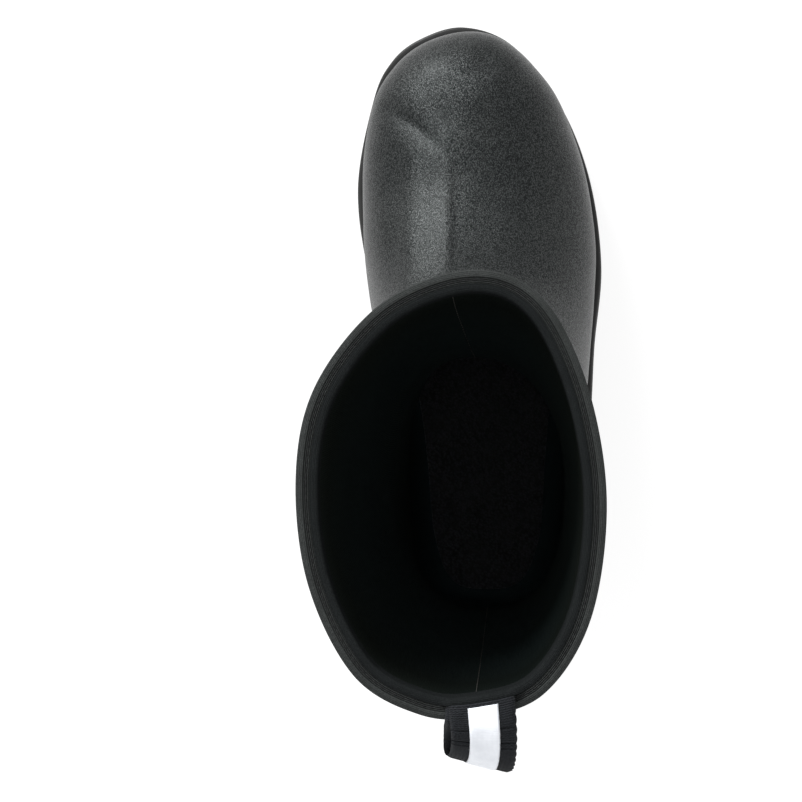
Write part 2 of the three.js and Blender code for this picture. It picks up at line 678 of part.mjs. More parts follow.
// A strip of the loop: its reach follows the collar at the top and the slanted fold at the back.
function loopStrip(from, to, width, depth, thickness, nu, nv) {
  const [[innerX, innerY], [outerX, outerY]] = LOOP_FOLD;
  const face = (out) => (u, v) => {
    const s = lerp(from, to, v);
    const p = LOOP_PATH.getPoint(s);
    const along = LOOP_PATH.getTangent(s);
    p.addScaledVector(new THREE.Vector3(0, -along.z, along.y), depth + (out - 0.5) * thickness);
    const x = LOOP.x + (0.5 - u) * width;
    const wall = rearWall(x);
    const fold = lerp(innerY, outerY, (x - innerX) / (outerX - innerX));
    const stretch = p.y > 0 ? (fold - wall) / LOOP_REACH : 1;
    const drift = LOOP.drift * between(s, 0.15, LOOP_TURN) * (1 - 0.75 * between(s, 0.75, 1));
    return new THREE.Vector3(x + drift, wall + p.y * stretch, p.z);
  };
  return skin(nu, nv, face(1), face(0));
}

const loopWebbing = () => loopStrip(0, 1, LOOP.width, 0, LOOP.thickness, 2, 26);

function loopStripe() {
  const depth = LOOP.thickness / 2 + GAP + LOOP.stripeThickness / 2;
  return loopStrip(0.02, LOOP_TURN - 0.02, LOOP.stripe, depth, LOOP.stripeThickness, 1, 15);
}

// ---------------------------------------------------------------------------------------------
// Materials and assembly
// ---------------------------------------------------------------------------------------------

const material = (color, roughness, metalness = 0) =>
  new THREE.MeshStandardMaterial({ color, roughness, metalness });

const RUBBER_BLACK = material(0x2b2d2d, 0.55);
const SOLE_RUBBER = material(0x242526, 0.65);
const FOAM_GREY = material(0x3a3b3c, 0.9);
const BOARD_TAN = material(0x8a7658, 0.85);
const STEEL = material(0xa8abad, 0.35, 1);
const STIFF_FELT = material(0x77736a, 0.9);
const NEOPRENE_BLACK = material(0x1d1e20, 0.85);
const LINING_BLACK = material(0x121313, 0.95);
const KNIT_BLACK = material(0x26282a, 0.9);
const WEBBING_BLACK = material(0x2a2c30, 0.85);
const WHITE_TAPE = material(0xf0f2f4, 0.6);
const FOOTBED_GREY = material(0x191a1c, 0.95);

const boot = new THREE.Group();

function add(name, geometry, finish) {
  const mesh = new THREE.Mesh(geometry, finish);
  mesh.name = name;
  boot.add(mesh);
}

add("outsole", outsole(), SOLE_RUBBER);
add("foxing_band", foxingBand(), RUBBER_BLACK);
add("midsole", midsole(), FOAM_GREY);
add("shank", shankPlate(0), STEEL);
add("insole_board", insoleBoard(), BOARD_TAN);
add("rubber_shell", rubberShell(), RUBBER_BLACK);
add("toe_puff", toePuff(), STIFF_FELT);
add("heel_counter", heelCounter(), STIFF_FELT);
add("bootie_foot", footLayer(0, -NEOPRENE), NEOPRENE_BLACK);
add("foot_lining", footLayer(-NEOPRENE - GAP, -WALL), LINING_BLACK);
add("ankle_gusset", ankleGusset(), NEOPRENE_BLACK);
add("shaft_inner_panel", shaftPanel(1), NEOPRENE_BLACK);
add("shaft_outer_panel", shaftPanel(-1), NEOPRENE_BLACK);
add("shaft_lining", shaftLining(), LINING_BLACK);
add("front_seam_tape", seamTape(0, FRONT_TAPE_HALF_ANGLE), RUBBER_BLACK);
add("rear_seam_tape", seamTape(Math.PI, REAR_TAPE_HALF_ANGLE), RUBBER_BLACK);
add("collar_tape", collarTape(), KNIT_BLACK);
add("collar_facing", collarFacing(), LINING_BLACK);
add("loop_webbing", loopWebbing(), WEBBING_BLACK);
add("loop_stripe", loopStripe(), WHITE_TAPE);
add("footbed_foam", footbedSlab(0, FOOTBED), FOOTBED_GREY);
add("footbed_cover", footbedSlab(FOOTBED + GAP, FOOTBED + GAP + FOOTBED_COVER), FOOTBED_GREY);

// The origin is the middle of the boot in plan, on the ground.
const middle = new THREE.Box3().setFromObject(boot).getCenter(new THREE.Vector3());
boot.position.set(-middle.x, -middle.y, 0);

export default boot;
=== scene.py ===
"""The looks of a calf-high stable boot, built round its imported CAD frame.

Shapes are worked out in the drawing's millimetres: +Z up, the toe towards -Y, the inner side of the foot
towards +X. The drawing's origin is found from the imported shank, and pieces are placed in metres.
"""

import math

import bmesh
import bpy
import numpy as np
from mathutils import Matrix, Vector


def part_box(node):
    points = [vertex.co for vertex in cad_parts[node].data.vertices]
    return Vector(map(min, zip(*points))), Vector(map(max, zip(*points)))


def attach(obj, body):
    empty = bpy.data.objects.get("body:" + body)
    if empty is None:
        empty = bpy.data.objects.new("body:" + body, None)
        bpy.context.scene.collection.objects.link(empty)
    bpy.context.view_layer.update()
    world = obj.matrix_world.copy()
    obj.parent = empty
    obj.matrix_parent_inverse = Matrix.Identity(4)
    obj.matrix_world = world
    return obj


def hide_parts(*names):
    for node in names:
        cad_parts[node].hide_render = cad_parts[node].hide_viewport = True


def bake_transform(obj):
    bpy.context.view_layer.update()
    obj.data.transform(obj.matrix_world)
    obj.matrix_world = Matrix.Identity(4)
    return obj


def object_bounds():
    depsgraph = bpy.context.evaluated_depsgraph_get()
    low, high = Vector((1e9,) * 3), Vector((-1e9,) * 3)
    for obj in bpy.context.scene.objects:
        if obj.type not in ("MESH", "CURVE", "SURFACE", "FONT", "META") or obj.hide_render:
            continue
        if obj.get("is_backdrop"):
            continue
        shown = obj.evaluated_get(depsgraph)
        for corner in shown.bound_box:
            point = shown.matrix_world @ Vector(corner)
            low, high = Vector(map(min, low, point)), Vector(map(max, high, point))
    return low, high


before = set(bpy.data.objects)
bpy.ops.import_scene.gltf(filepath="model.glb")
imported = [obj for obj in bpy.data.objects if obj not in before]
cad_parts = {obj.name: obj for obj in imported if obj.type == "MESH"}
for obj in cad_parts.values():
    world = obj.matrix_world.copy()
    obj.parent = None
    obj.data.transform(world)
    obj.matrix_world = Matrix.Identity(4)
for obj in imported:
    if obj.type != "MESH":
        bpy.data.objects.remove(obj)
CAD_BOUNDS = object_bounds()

TURN = 2 * math.pi
MM = 0.001

# The shank's inner-front corner in the drawing, which ties the drawing to the frame.
SHANK_X, SHANK_Y = -4.0, -60.0
_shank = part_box("shank")[0]
SHIFT = np.array([_shank.x - SHANK_X * MM, _shank.y - SHANK_Y * MM, 0.0])


def placed(point):
    """A drawing point in the frame's metres."""
    return Vector((np.asarray(point, float) * MM + SHIFT).tolist())


# === Camera ===

EYE = (0.0, 0.0, 1043.0)
AIM = (46.1, -19.4, 0.0)
LENS = 96.42


def make_camera():
    """Straight over the boot with the toe at the top, then tipped a little towards its aim."""
    camera = bpy.data.objects.new("camera", bpy.data.cameras.new("camera"))
    camera.data.lens = LENS
    camera.data.sensor_width = 36
    camera.data.clip_start, camera.data.clip_end = 0.05, 20
    look = placed(AIM) - placed(EYE)
    tip = Vector((0, 0, -1)).rotation_difference(look).to_matrix().to_4x4()
    camera.matrix_world = Matrix.Translation(placed(EYE)) @ tip @ Matrix.Rotation(math.pi, 4, "Z")
    bpy.context.scene.collection.objects.link(camera)
    bpy.context.scene.camera = camera


make_camera()

# === Dimensions, as the CAD has them ===

GAP = 0.3
NEOPRENE = 3.5
WALL = 4.6
STIFFENER = 0.9
RUBBER = 2.2
FLOOR, FLOOR_HEEL_RISE = 17.0, 14.0
OUTSOLE_TOP, OUTSOLE_HEEL_RISE = 9.0, 11.0
TOE_SPRING, BALL_Y, TOE_SPAN = 10.0, -115.0, 72.0
LUG_DEPTH, HEEL_LUG_DEPTH, ARCH_LIFT, HEEL_BREAST_Y = 4.5, 6.0, 5.0, 22.0
FOXING, FOXING_INSET, FOXING_RISE = 2.4, 1.2, 9.0
FOOTBED_UNDER, FOOTBED, FOOTBED_COVER = 5.1, 4.2, 1.3
FOOTBED_CLEAR, FOOTBED_TIP_CLEAR = 0.5, 0.9
BINDING = 1.2
TAPE_EDGE = -3.2

# Each station of the loft: front y, z, x; rear y, rise above the floor, x; inner and outer width;
# the share where it is widest; the roundness of its front and rear halves.
STATIONS = np.array([
    [-186.5, 44, 12, -186.5, 17.1, 12, 12, 12, 0.45, 2.2, 2.6],
    [-184.8, 55, 12, -184.8, 5.6, 12, 24, 2, 0.45, 2.2, 2.6],
    [-179.6, 63, 12.5, -179.6, 1.9, 11, 36, -6.8, 0.42, 2.2, 3],
    [-171, 69, 13, -171, 0, 10, 45.4, -15.6, 0.4, 2.2, 3.4],
    [-158, 73, 14, -158, 0, 9, 53.2, -25.4, 0.38, 2.15, 4],
    [-137, 76, 15, -137, 0, 8.5, 57.7, -34.3, 0.36, 2.1, 4.6],
    [-114, 81, 16, -114, 0, 8, 59.4, -40.9, 0.34, 2.05, 5],
    [-90, 91, 17, -90, 0, 7.5, 59, -44, 0.31, 2, 5],
    [-70, 105, 17, -62, 0, 7, 55.9, -43, 0.29, 1.9, 5],
    [-57, 121, 16, -34, 0, 6, 50.8, -40.8, 0.3, 1.9, 4.6],
    [-49, 134, 14, 6, 0, 5, 45.5, -38, 0.36, 2, 4.4],
    [-44, 145, 12, 46, 0, 4.4, 43, -36, 0.42, 2.1, 4.2],
    [-41.5, 153, 10, 74.5, 8, 4.4, 42, -34.8, 0.47, 2.2, 3.4],
    [-40, 160, 9, 80.4, 31, 4.4, 42, -34, 0.5, 2.25, 2.8],
    [-39, 168, 9, 79.2, 59, 4.4, 43, -33.5, 0.5, 2.25, 2.5],
    [-38.5, 177, 9, 76.6, 88, 4.4, 44.5, -33, 0.5, 2.2, 2.35],
    [-38.5, 190, 9.5, 76.5, 118, 4.6, 46.5, -32.5, 0.5, 2.2, 2.3],
    [-40, 207, 10.5, 79, 149, 5, 49.5, -32.5, 0.5, 2.15, 2.25],
    [-43, 230, 12, 82.5, 181, 5.5, 53.5, -33, 0.5, 2.15, 2.2],
    [-47, 258, 14, 86.5, 216, 6, 58, -34, 0.5, 2.15, 2.2],
    [-51.5, 287, 15.5, 90, 250, 6.5, 62.5, -35.2, 0.5, 2.15, 2.2],
    [-55.1, 315, 17, 91.5, 284, 6.8, 66.3, -36.4, 0.5, 2.15, 2.2],
])
LAST = len(STATIONS) - 1
TOPLINE_FROM = 14

# The topline in plan, from the front seam round the inner side.
TOPLINE = np.array([
    [17, -55.2], [41, -43], [60.6, -16.8], [66.5, 13.2], [62.3, 48.4], [47.2, 78.4], [26, 90.9],
    [6.8, 91.9], [-15, 84.3], [-30.4, 60], [-35.9, 23], [-31.2, -12.4], [-19.3, -41.4], [-3.7, -54.7],
])

# The outsole in plan, from the toe round the inner side.
SOLE = np.array([
    [14.8, -195.2], [35.5, -190.2], [49.8, -179.6], [59, -161], [66.6, -118], [59, -67.5], [47, -10],
    [44, 42], [31, 77], [5, 87], [-21, 77], [-37, 42], [-44.5, -5], [-47.2, -45], [-50.7, -84],
    [-45.1, -125], [-30.8, -160], [-8.4, -186.7],
])

# The shell's top edge in side view, [y, z].
SHELL_TOP = np.array([[-230, 170], [-60, 160], [-43, 150.5], [-20, 134], [0, 122], [19, 115], [45, 112.5],
                      [76, 114], [130, 117]])

# === Curves and heights ===


def smooth(x):
    x = np.clip(x, 0, 1)
    return x * x * (3 - 2 * x)


def between(x, low, high):
    return smooth((x - low) / (high - low))


def window(x, low, high, far_high, far_low):
    """Rises from low to high, and falls again from far_high to far_low."""
    return between(x, low, high) * (1 - between(x, far_high, far_low))


def hump(x, middle, spread):
    return np.exp(-(((x - middle) / spread) ** 2))


def spring(y):
    """How far the toe is sprung off the ground."""
    return TOE_SPRING * np.maximum(0, (BALL_Y - y) / TOE_SPAN) ** 2


def floor_at(y):
    return FLOOR + FLOOR_HEEL_RISE * between(y, -80, 30) + spring(y)


def outsole_top_at(y):
    return OUTSOLE_TOP + OUTSOLE_HEEL_RISE * between(y, -80, 30) + spring(y)


def lug_root_at(y):
    """The underside of the outsole's plate, between the lugs."""
    heel = between(y, HEEL_BREAST_Y - 3, HEEL_BREAST_Y + 3)
    arch = ARCH_LIFT * between(y, -52, -30) * (1 - heel)
    return LUG_DEPTH + (HEEL_LUG_DEPTH - LUG_DEPTH) * heel + arch + spring(y)


def catmull(a, b, c, d, s):
    return b + ((c - a) * s + (2 * a - 5 * b + 4 * c - d) * s * s + (3 * b - a - 3 * c + d) * s * s * s) / 2


def closed_curve(points, u):
    """A closed curve through plan points; u runs from 0 to 1 round it."""
    at = (u % 1) * len(points)
    i = np.floor(at).astype(int)
    p = [points[(i + k) % len(points)] for k in (-1, 0, 1, 2)]
    return catmull(*p, (at - i)[..., None])


def open_curve(points, u):
    """A curve through points; u runs from 0 to 1 along it."""
    padded = np.vstack([2 * points[0] - points[1], points, 2 * points[-1] - points[-2]])
    at = np.clip(u, 0, 1) * (len(points) - 1)
    i = np.minimum(np.floor(at).astype(int), len(points) - 2)
    return catmull(*[padded[i + k] for k in range(4)], (at - i)[..., None])


def unit(vectors):
    return vectors / (np.linalg.norm(vectors, axis=-1, keepdims=True) + 1e-12)


def length_along(path):
    """The way along a path at each of its points."""
    return np.concatenate([[0], np.linalg.norm(np.diff(path, axis=0), axis=1).cumsum()])


def smooth_line(knots, spread):
    """A line through knots with its corners rounded over a spread."""
    steps = np.arange(-40, 41) / 20
    weights = np.exp(-(steps**2))
    offsets = steps * spread
    return lambda y: sum(w * np.interp(y + o, *knots.T) for w, o in zip(weights, offsets)) / weights.sum()


shell_top_at = smooth_line(SHELL_TOP, 6)

# === The loft: the neoprene's outer face ===


def padded_stations():
    """The stations, one before the toe that mirrors the next so that the nose closes, and one after."""
    tip_height = STATIONS[0, 1] - STATIONS[0, 4]
    nose = STATIONS[1].copy()
    nose[[1, 4]] = STATIONS[1, 4] + tip_height, STATIONS[1, 1] - tip_height
    nose[[6, 7]] = STATIONS[1, [7, 6]]
    return np.vstack([nose, STATIONS, 2 * STATIONS[-1] - STATIONS[-2]])


ALL_STATIONS = padded_stations()


def surface(t, phi, roundness=None):
    """Points of the loft. phi is 0 at the front or top and half a turn at the rear or bottom."""
    t, phi = np.broadcast_arrays(np.asarray(t, float), np.asarray(phi, float))
    i = np.clip(np.floor(t).astype(int), 0, LAST - 1)
    values = catmull(*[ALL_STATIONS[i + k] for k in range(4)], (t - i)[..., None])
    fy, fz, fx, ry, rise, rx, inner, outer, widest, front_power, rear_power = np.moveaxis(values, -1, 0)
    if roundness is not None:
        rear_power = roundness(t, rear_power)
    rz = floor_at(ry) + np.where(t > 2, np.maximum(0, rise), rise)
    c, s = np.cos(phi), np.sin(phi)
    n = np.where(c >= 0, front_power, rear_power)
    radius = (np.abs(c) ** n + np.abs(s) ** n) ** (-1 / n)
    along, across = radius * c, radius * np.abs(s)
    middle = (inner + outer) / 2
    shift = np.where(c >= 0, fx, rx) - middle
    side = np.where(s >= 0, inner - middle, outer - middle)
    share = widest + along * np.where(c >= 0, 1 - widest, widest)
    x = middle + shift * along**2 + side * across
    y = ry + (fy - ry) * share
    z = rz + (fz - rz) * share
    turn = np.arctan2(np.sign(s) * across ** (n / 2), np.sign(c) * np.abs(along) ** (n / 2)) / TURN
    blend = between(t, TOPLINE_FROM, LAST) ** 2
    top = closed_curve(TOPLINE, turn)
    return np.stack([x + (top[..., 0] - x) * blend, y + (top[..., 1] - y) * blend, z], -1)


def layer(t, phi, depth, roundness=None):
    """The loft pushed out by a depth along its normal, and the normal."""
    if callable(depth):
        depth = depth(t, phi)
    t, phi, depth = np.broadcast_arrays(*[np.asarray(v, float) for v in (t, phi, depth)])
    low, high = np.maximum(0, t - 0.02), np.minimum(LAST, t + 0.02)
    along = surface(high, phi, roundness) - surface(low, phi, roundness)
    round_ = surface(t, phi + 0.01, roundness) - surface(t, phi - 0.01, roundness)
    normal = np.where((t < 0.01)[..., None], [0.0, -1.0, 0.0], unit(-np.cross(along, round_)))
    return surface(t, phi, roundness) + normal * depth[..., None], normal


def where_rising(height, low, high, shape):
    """The t at which a rising function of t crosses zero, by halving."""
    low, high = np.full(shape, float(low)), np.full(shape, float(high))
    for _ in range(40):
        t = (low + high) / 2
        below = height(t) < 0
        low, high = np.where(below, t, low), np.where(below, high, t)
    return (low + high) / 2


def level_outline(depth, rise, count, roundness=None):
    """The outline of a layer of the foot at a rise above the floor, from the toe round the inner side."""

    def height(t, phi):
        p = layer(t, phi, depth, roundness)[0]
        return p[..., 2] - floor_at(p[..., 1]) - rise

    bottom = np.full(1, math.pi)
    toe = where_rising(lambda t: -height(t, bottom), 0.02, 3, 1)[0]
    heel = where_rising(lambda t: height(t, bottom), 10, 13.9, 1)[0]
    v = (1 - np.cos(np.linspace(0, math.pi, count))) / 2
    t = toe + (heel - toe) * v
    sides = []
    for sign in (1, -1):
        phi = where_rising(lambda a: -height(t, sign * a), math.pi / 2, math.pi, count)
        sides.append(layer(t, sign * phi, depth, roundness)[0])
    return np.vstack([sides[0], sides[1][-2:0:-1]])


# === Meshes ===

CLOTH = "cloth"


def grid_faces(rows, columns, wrap_rows=False, wrap_columns=False):
    """The quads of a grid of vertices, with the rows or columns closed on themselves if asked."""
    counts = rows - (not wrap_rows), columns - (not wrap_columns)
    j, i = np.meshgrid(np.arange(counts[0]), np.arange(counts[1]), indexing="ij")
    below, beside = (j + 1) % rows, (i + 1) % columns
    corners = [j * columns + i, j * columns + beside, below * columns + beside, below * columns + i]
    return np.stack(corners, -1).reshape(-1, 4)


def tube_faces(rows, columns, first=0):
    """The faces of a row of closed sections with a cap at each end, for vertices that start at first."""
    faces = grid_faces(rows, columns, False, True).tolist()
    faces += [list(range(columns))[::-1], list(range((rows - 1) * columns, rows * columns))]
    return [[first + v for v in face] for face in faces]


def grid_uvs(points, wrap_rows):
    """Cloth coordinates for a grid whose columns close: the way round each row, and the mean way down."""
    u = np.linalg.norm(np.diff(np.concatenate([points, points[:, :1]], 1), axis=1), axis=-1).cumsum(1)
    u = np.concatenate([np.zeros((len(u), 1)), u], 1)
    u -= u[:, -1:] / 2
    if wrap_rows:
        points, u = np.concatenate([points, points[:1]]), np.concatenate([u, u[:1]])
    v = np.concatenate([[0], np.linalg.norm(np.diff(points, axis=0), axis=-1).mean(1).cumsum()])
    uv = np.stack([u, np.broadcast_to(v[:, None], u.shape)], -1) * MM
    return np.stack([uv[:-1, :-1], uv[:-1, 1:], uv[1:, 1:], uv[1:, :-1]], 2).reshape(-1, 2)


def make_object(name, vertices, faces, uvs=None):
    """A smooth mesh object from drawing points. uvs has one pair for each corner of each face, in order."""
    mesh = bpy.data.meshes.new(name)
    mesh.from_pydata((np.asarray(vertices) * MM + SHIFT).tolist(), [], [list(map(int, f)) for f in faces])
    if uvs is not None:
        extra = len(mesh.loops) - len(uvs)
        flat = np.vstack([uvs, np.zeros((extra, 2))]).ravel()
        mesh.uv_layers.new(name=CLOTH).data.foreach_set("uv", flat)
    mesh.shade_smooth()
    obj = bpy.data.objects.new(name, mesh)
    bpy.context.scene.collection.objects.link(obj)
    return obj


def edit(obj, change):
    """Runs change on the object's bmesh and keeps the result."""
    bm = bmesh.new()
    bm.from_mesh(obj.data)
    change(bm)
    bm.to_mesh(obj.data)
    bm.free()
    obj.data.shade_smooth()


def weld(bm):
    bmesh.ops.remove_doubles(bm, verts=bm.verts, dist=2e-6)
    bmesh.ops.recalc_face_normals(bm, faces=bm.faces)


def sweep(name, sections, closed):
    """A solid whose closed sections lie in a row; it is a ring if closed, and capped otherwise."""
    rows, columns = sections.shape[:2]
    faces = grid_faces(rows, columns, True, True) if closed else tube_faces(rows, columns)
    obj = make_object(name, sections.reshape(-1, 3), faces, grid_uvs(sections, closed))
    edit(obj, weld)
    return obj


def sock(name, outer, inner):
    """A closed double wall from two grids that both start at the toe's tip and end at the same edge."""
    points = np.concatenate([outer, inner[::-1]], 0)
    rows, columns = points.shape[:2]
    faces = grid_faces(rows, columns, False, True)
    obj = make_object(name, points.reshape(-1, 3), faces, grid_uvs(points, False))
    edit(obj, weld)
    return obj


def outline_limits(outline):
    """The inner and outer x of a plan outline at each y, and its front and rear y."""
    front, rear = outline[:, 1].argmin(), outline[:, 1].argmax()
    inner, outer = outline[front:rear + 1], np.vstack([outline[rear:], outline[:front + 1]])[::-1]
    limits = [lambda y, side=side: np.interp(y, side[:, 1], side[:, 0]) for side in (inner, outer)]
    return limits, outline[front, 1], outline[rear, 1]


def inset_outline(outline, inset):
    """An outline moved inwards along its normals."""
    tangent = unit(np.roll(outline, -1, 0) - np.roll(outline, 1, 0))
    return outline + np.stack([-tangent[:, 1], tangent[:, 0]], 1) * inset


SOLE_OUTLINE = closed_curve(SOLE, np.arange(720) / 720)


def rolled(outline):
    """The same closed outline, started at its front."""
    return np.roll(outline, -outline[:, 1].argmin(), 0)


def plate(name, levels, rows=150, columns=14):
    """A closed plate. Each level is a plan outline and a height at each y; the first is the bottom one."""
    v = (1 - np.cos(np.linspace(0, math.pi, rows))) / 2
    loops, sheets = [], []
    for outline, height in levels:
        (inner, outer), front, rear = outline_limits(rolled(outline))
        y = front + (rear - front) * v
        a, b = outer(y), inner(y)
        a[[0, -1]] = b[[0, -1]] = (a[[0, -1]] + b[[0, -1]]) / 2
        x = a[:, None] + (b - a)[:, None] * np.linspace(0, 1, columns)
        y = np.broadcast_to(y[:, None], x.shape)
        sheet = np.stack([x, y, height(y)], -1)
        sheets.append(sheet)
        loops.append(np.vstack([sheet[:, 0], sheet[::-1, -1]]))
    loops = np.stack(loops)
    count = loops.shape[1]
    side = grid_faces(len(levels), count, False, True)
    vertices = np.vstack([loops.reshape(-1, 3), sheets[0].reshape(-1, 3), sheets[-1].reshape(-1, 3)])
    cap = grid_faces(rows, columns)
    first = len(levels) * count
    faces = np.vstack([side, cap + first, cap[:, ::-1] + first + rows * columns])
    obj = make_object(name, vertices, faces, vertices[faces.ravel()][:, :2] * MM)
    edit(obj, weld)
    return obj


def stitches(name, path, normal, pitch, length, radius, lift):
    """Thread stitches along a path: each is a short arched strand that dips in at its ends."""
    way = length_along(path)
    count = int(way[-1] / pitch)
    rings, sides = 7, 7
    q = np.linspace(0, 1, rings)
    s = (np.arange(count)[:, None] * way[-1] / count) + q * length
    sample = lambda values, at: np.stack([np.interp(at, way, values[:, k]) for k in range(3)], -1)
    centre, up = sample(path, s), unit(sample(normal, s))
    ahead = unit(sample(path, np.minimum(s + 0.2, way[-1])) - sample(path, np.maximum(s - 0.2, 0)))
    beside = np.cross(ahead, up)
    arch = np.sin(math.pi * q)[None, :, None]
    centre = centre + up * (arch * (lift + radius) - radius)
    turn = TURN * np.arange(sides) / sides
    thick = radius * (0.45 + 0.55 * arch[..., None] ** 0.5)
    offset = np.cos(turn)[:, None] * beside[:, :, None] + np.sin(turn)[:, None] * up[:, :, None]
    points = centre[:, :, None] + offset * thick
    faces = [face for k in range(count) for face in tube_faces(rings, sides, k * rings * sides)]
    return make_object(name, points.reshape(-1, 3), faces)


# === Upper: the rubber shell, the neoprene and the lining ===

RIDGE_X = 22.0
CREASE_FROM, CREASE_TO, CREASE_DEPTH = np.array([51.5, -153.0]), np.array([24.0, -131.0]), 1.35

# The rolled lip: the steps down from the shell's top edge, how far it stands out, and its edge's radius.
LIP_STEPS = np.array([7, 5.4, 4.4, 3.6, 2.9, 2.2, 1.5, 0.9, 0.4, 0.1, 0])
LIP, LIP_RADIUS = 0.8, 1.6

# Where the shell is cut open under the foot, above the floor.
SHELL_CUT = 1.2


def shell_inner(t, phi):
    """How far the shell's inner face stands off the neoprene, with room for the toe puff and counter."""
    toe = 1 - smooth((t - 5) / 1.6)
    away = np.minimum(phi % TURN, TURN - phi % TURN)
    sides = smooth((away - 1.45) / 0.4)
    rise = np.minimum(smooth((t - 10.4) * 1.6), smooth((15 - t) / 1.2))
    return GAP + (STIFFENER + GAP) * np.maximum(toe, sides * rise)


def crease_relief(x, y):
    """A soft fold that runs in from the inner edge at the ball of the foot."""
    run = CREASE_TO - CREASE_FROM
    length = np.linalg.norm(run)
    x, y = x - CREASE_FROM[0], y - CREASE_FROM[1]
    along = (x * run[0] + y * run[1]) / length
    across = (x * run[1] - y * run[0]) / length + 0.6 * np.sin(along / 9.5)
    width = 3.4 - 1.4 * smooth(along / length)
    fade = smooth((along + 6) / 10) * smooth((length + 6 - along) / 15)
    return -CREASE_DEPTH * fade * np.exp(-np.sqrt(across**2 + 0.8) / width)


def vamp_relief(p):
    """The set of the vamp over the last: a ridge down its crown, hollows beside it and soft waves."""
    x, y, z = np.moveaxis(p, -1, 0)
    above = between(z - floor_at(y), 26, 44)
    ridge = 0.75 * hump(x, RIDGE_X, 2.9) - 0.55 * hump(x, RIDGE_X - 16, 11) + 0.2 * hump(x, RIDGE_X + 12, 9)
    ridge = ridge * window(y, -146, -100, -68, -40)
    inner = -1.0 * hump(x, 46, 6.5) * window(y, -152, -118, -92, -56)
    toe = -1.0 * hump(x, 5, 8) * hump(y, -172, 8) + 0.7 * hump(x, 27, 8) * hump(y, -169, 7)
    waves = 0.12 * np.sin(x / 8.1 + y / 17) * np.sin(y / 12.3 - x / 23) + 0.05 * np.sin(x / 4.7 - y / 6.1)
    return above * (ridge + inner + toe + waves + crease_relief(x, y))


def top_t(phi):
    """Where each line of the loft meets the shell's top edge."""

    def height(t):
        p = surface(t, phi)
        return p[..., 2] - shell_top_at(p[..., 1])

    return where_rising(height, 9, 16.5, phi.shape)


def make_shell():
    """The shell: the loft's foot with a rolled lip round its top, open under the foot."""
    columns = 288
    phi = TURN * np.arange(columns) / columns
    end = top_t(phi)
    rate = np.linalg.norm(surface(end, phi) - surface(end - 0.05, phi), axis=-1) / 0.05
    v = np.linspace(0, 1, 150)[:-1] ** 1.25
    t = np.vstack([v[:, None] * (end - LIP_STEPS[0] / rate), end - LIP_STEPS[:, None] / rate])
    below = np.concatenate([np.full(len(v), LIP_STEPS[0]), LIP_STEPS])[:, None]
    inner_depth = shell_inner(t, phi)
    lip = LIP * smooth((LIP_STEPS[1] - below) / 1.6)
    edge = np.sqrt(np.clip(1 - (1 - np.minimum(below, LIP_RADIUS) / LIP_RADIUS) ** 2, 0, 1))
    outer_depth = inner_depth + (RUBBER + lip) * (0.45 + 0.55 * edge)
    outer, normal = layer(t, phi, outer_depth)
    outer = outer + normal * vamp_relief(outer)[..., None]
    inner, _ = layer(t, phi, inner_depth)
    shell = sock("shell", outer, inner)
    edit(shell, open_underneath)
    return shell


def open_underneath(bm):
    """Cuts the shell along the floor, and joins its two walls there."""

    def shear(sign):
        for vertex in bm.verts:
            y = (vertex.co.y - SHIFT[1]) / MM
            vertex.co.z += sign * float(floor_at(y) + SHELL_CUT) * MM

    shear(-1)
    everything = bm.verts[:] + bm.edges[:] + bm.faces[:]
    floor = {"plane_co": (0, 0, 0), "plane_no": (0, 0, 1)}
    cut = bmesh.ops.bisect_plane(bm, geom=everything, clear_inner=True, **floor)
    edges = [g for g in cut["geom_cut"] if isinstance(g, bmesh.types.BMEdge) and g.is_boundary]
    bmesh.ops.bridge_loops(bm, edges=edges)
    shear(1)
    bmesh.ops.recalc_face_normals(bm, faces=bm.faces)


def soft_folds(p, t):
    """The neoprene's slack: low folds round the front of the ankle, at its sides and above the heel."""
    x, y, z = np.moveaxis(p, -1, 0)
    front = between(-y, -30, 30)
    lean = z + 0.25 * y + 0.05 * x
    folds = 0.9 * np.sin((lean - 150) / 4.3 + 0.02 * x) * hump(lean, 168, 17) * front
    heel = 0.5 * np.sin((z + 0.12 * x) / 4.6) * hump(z, 146, 14) * between(y, 25, 62)
    drape = 0.35 * np.sin(z / 21 + x / 26) * np.sin(y / 19 - z / 43) * between(z, 175, 215)
    return (folds + heel + drape) * between(t, 12, 13.5) * (1 - between(z, 285, 308))


FOOT_ROWS = np.concatenate([np.linspace(0, 2, 16) ** 1.2 / 2**0.2, np.linspace(2.2, 11.4, 34)])
SHAFT_ROWS = np.linspace(11.5, LAST, 96)
ALL_ROWS = np.concatenate([FOOT_ROWS, SHAFT_ROWS])
SOCK_COLUMNS = 200


def soft_layer(t, phi, depth, roundness=None):
    """A layer of the soft upper, with its folds, which are fainter on the lining."""
    p, normal = layer(t, phi, depth, roundness)
    share = np.where(np.asarray(depth) <= -NEOPRENE, 0.3, 1.0)
    return p + normal * (share * soft_folds(p, np.broadcast_to(t, p.shape[:-1])))[..., None], normal


def cup_roundness(t, power):
    """Inside, the lining cups the heel and arch more roundly than the outside does."""
    return power - np.maximum(0, power - 3.1) * window(t, 7.5, 9.5, 12, 13)


def make_soft_sock(name, outer, inner, roundness=None):
    phi = (TURN * np.arange(SOCK_COLUMNS) / SOCK_COLUMNS)[None]
    t = ALL_ROWS[:, None]
    return sock(name, soft_layer(t, phi, outer, roundness)[0], soft_layer(t, phi, inner, roundness)[0])


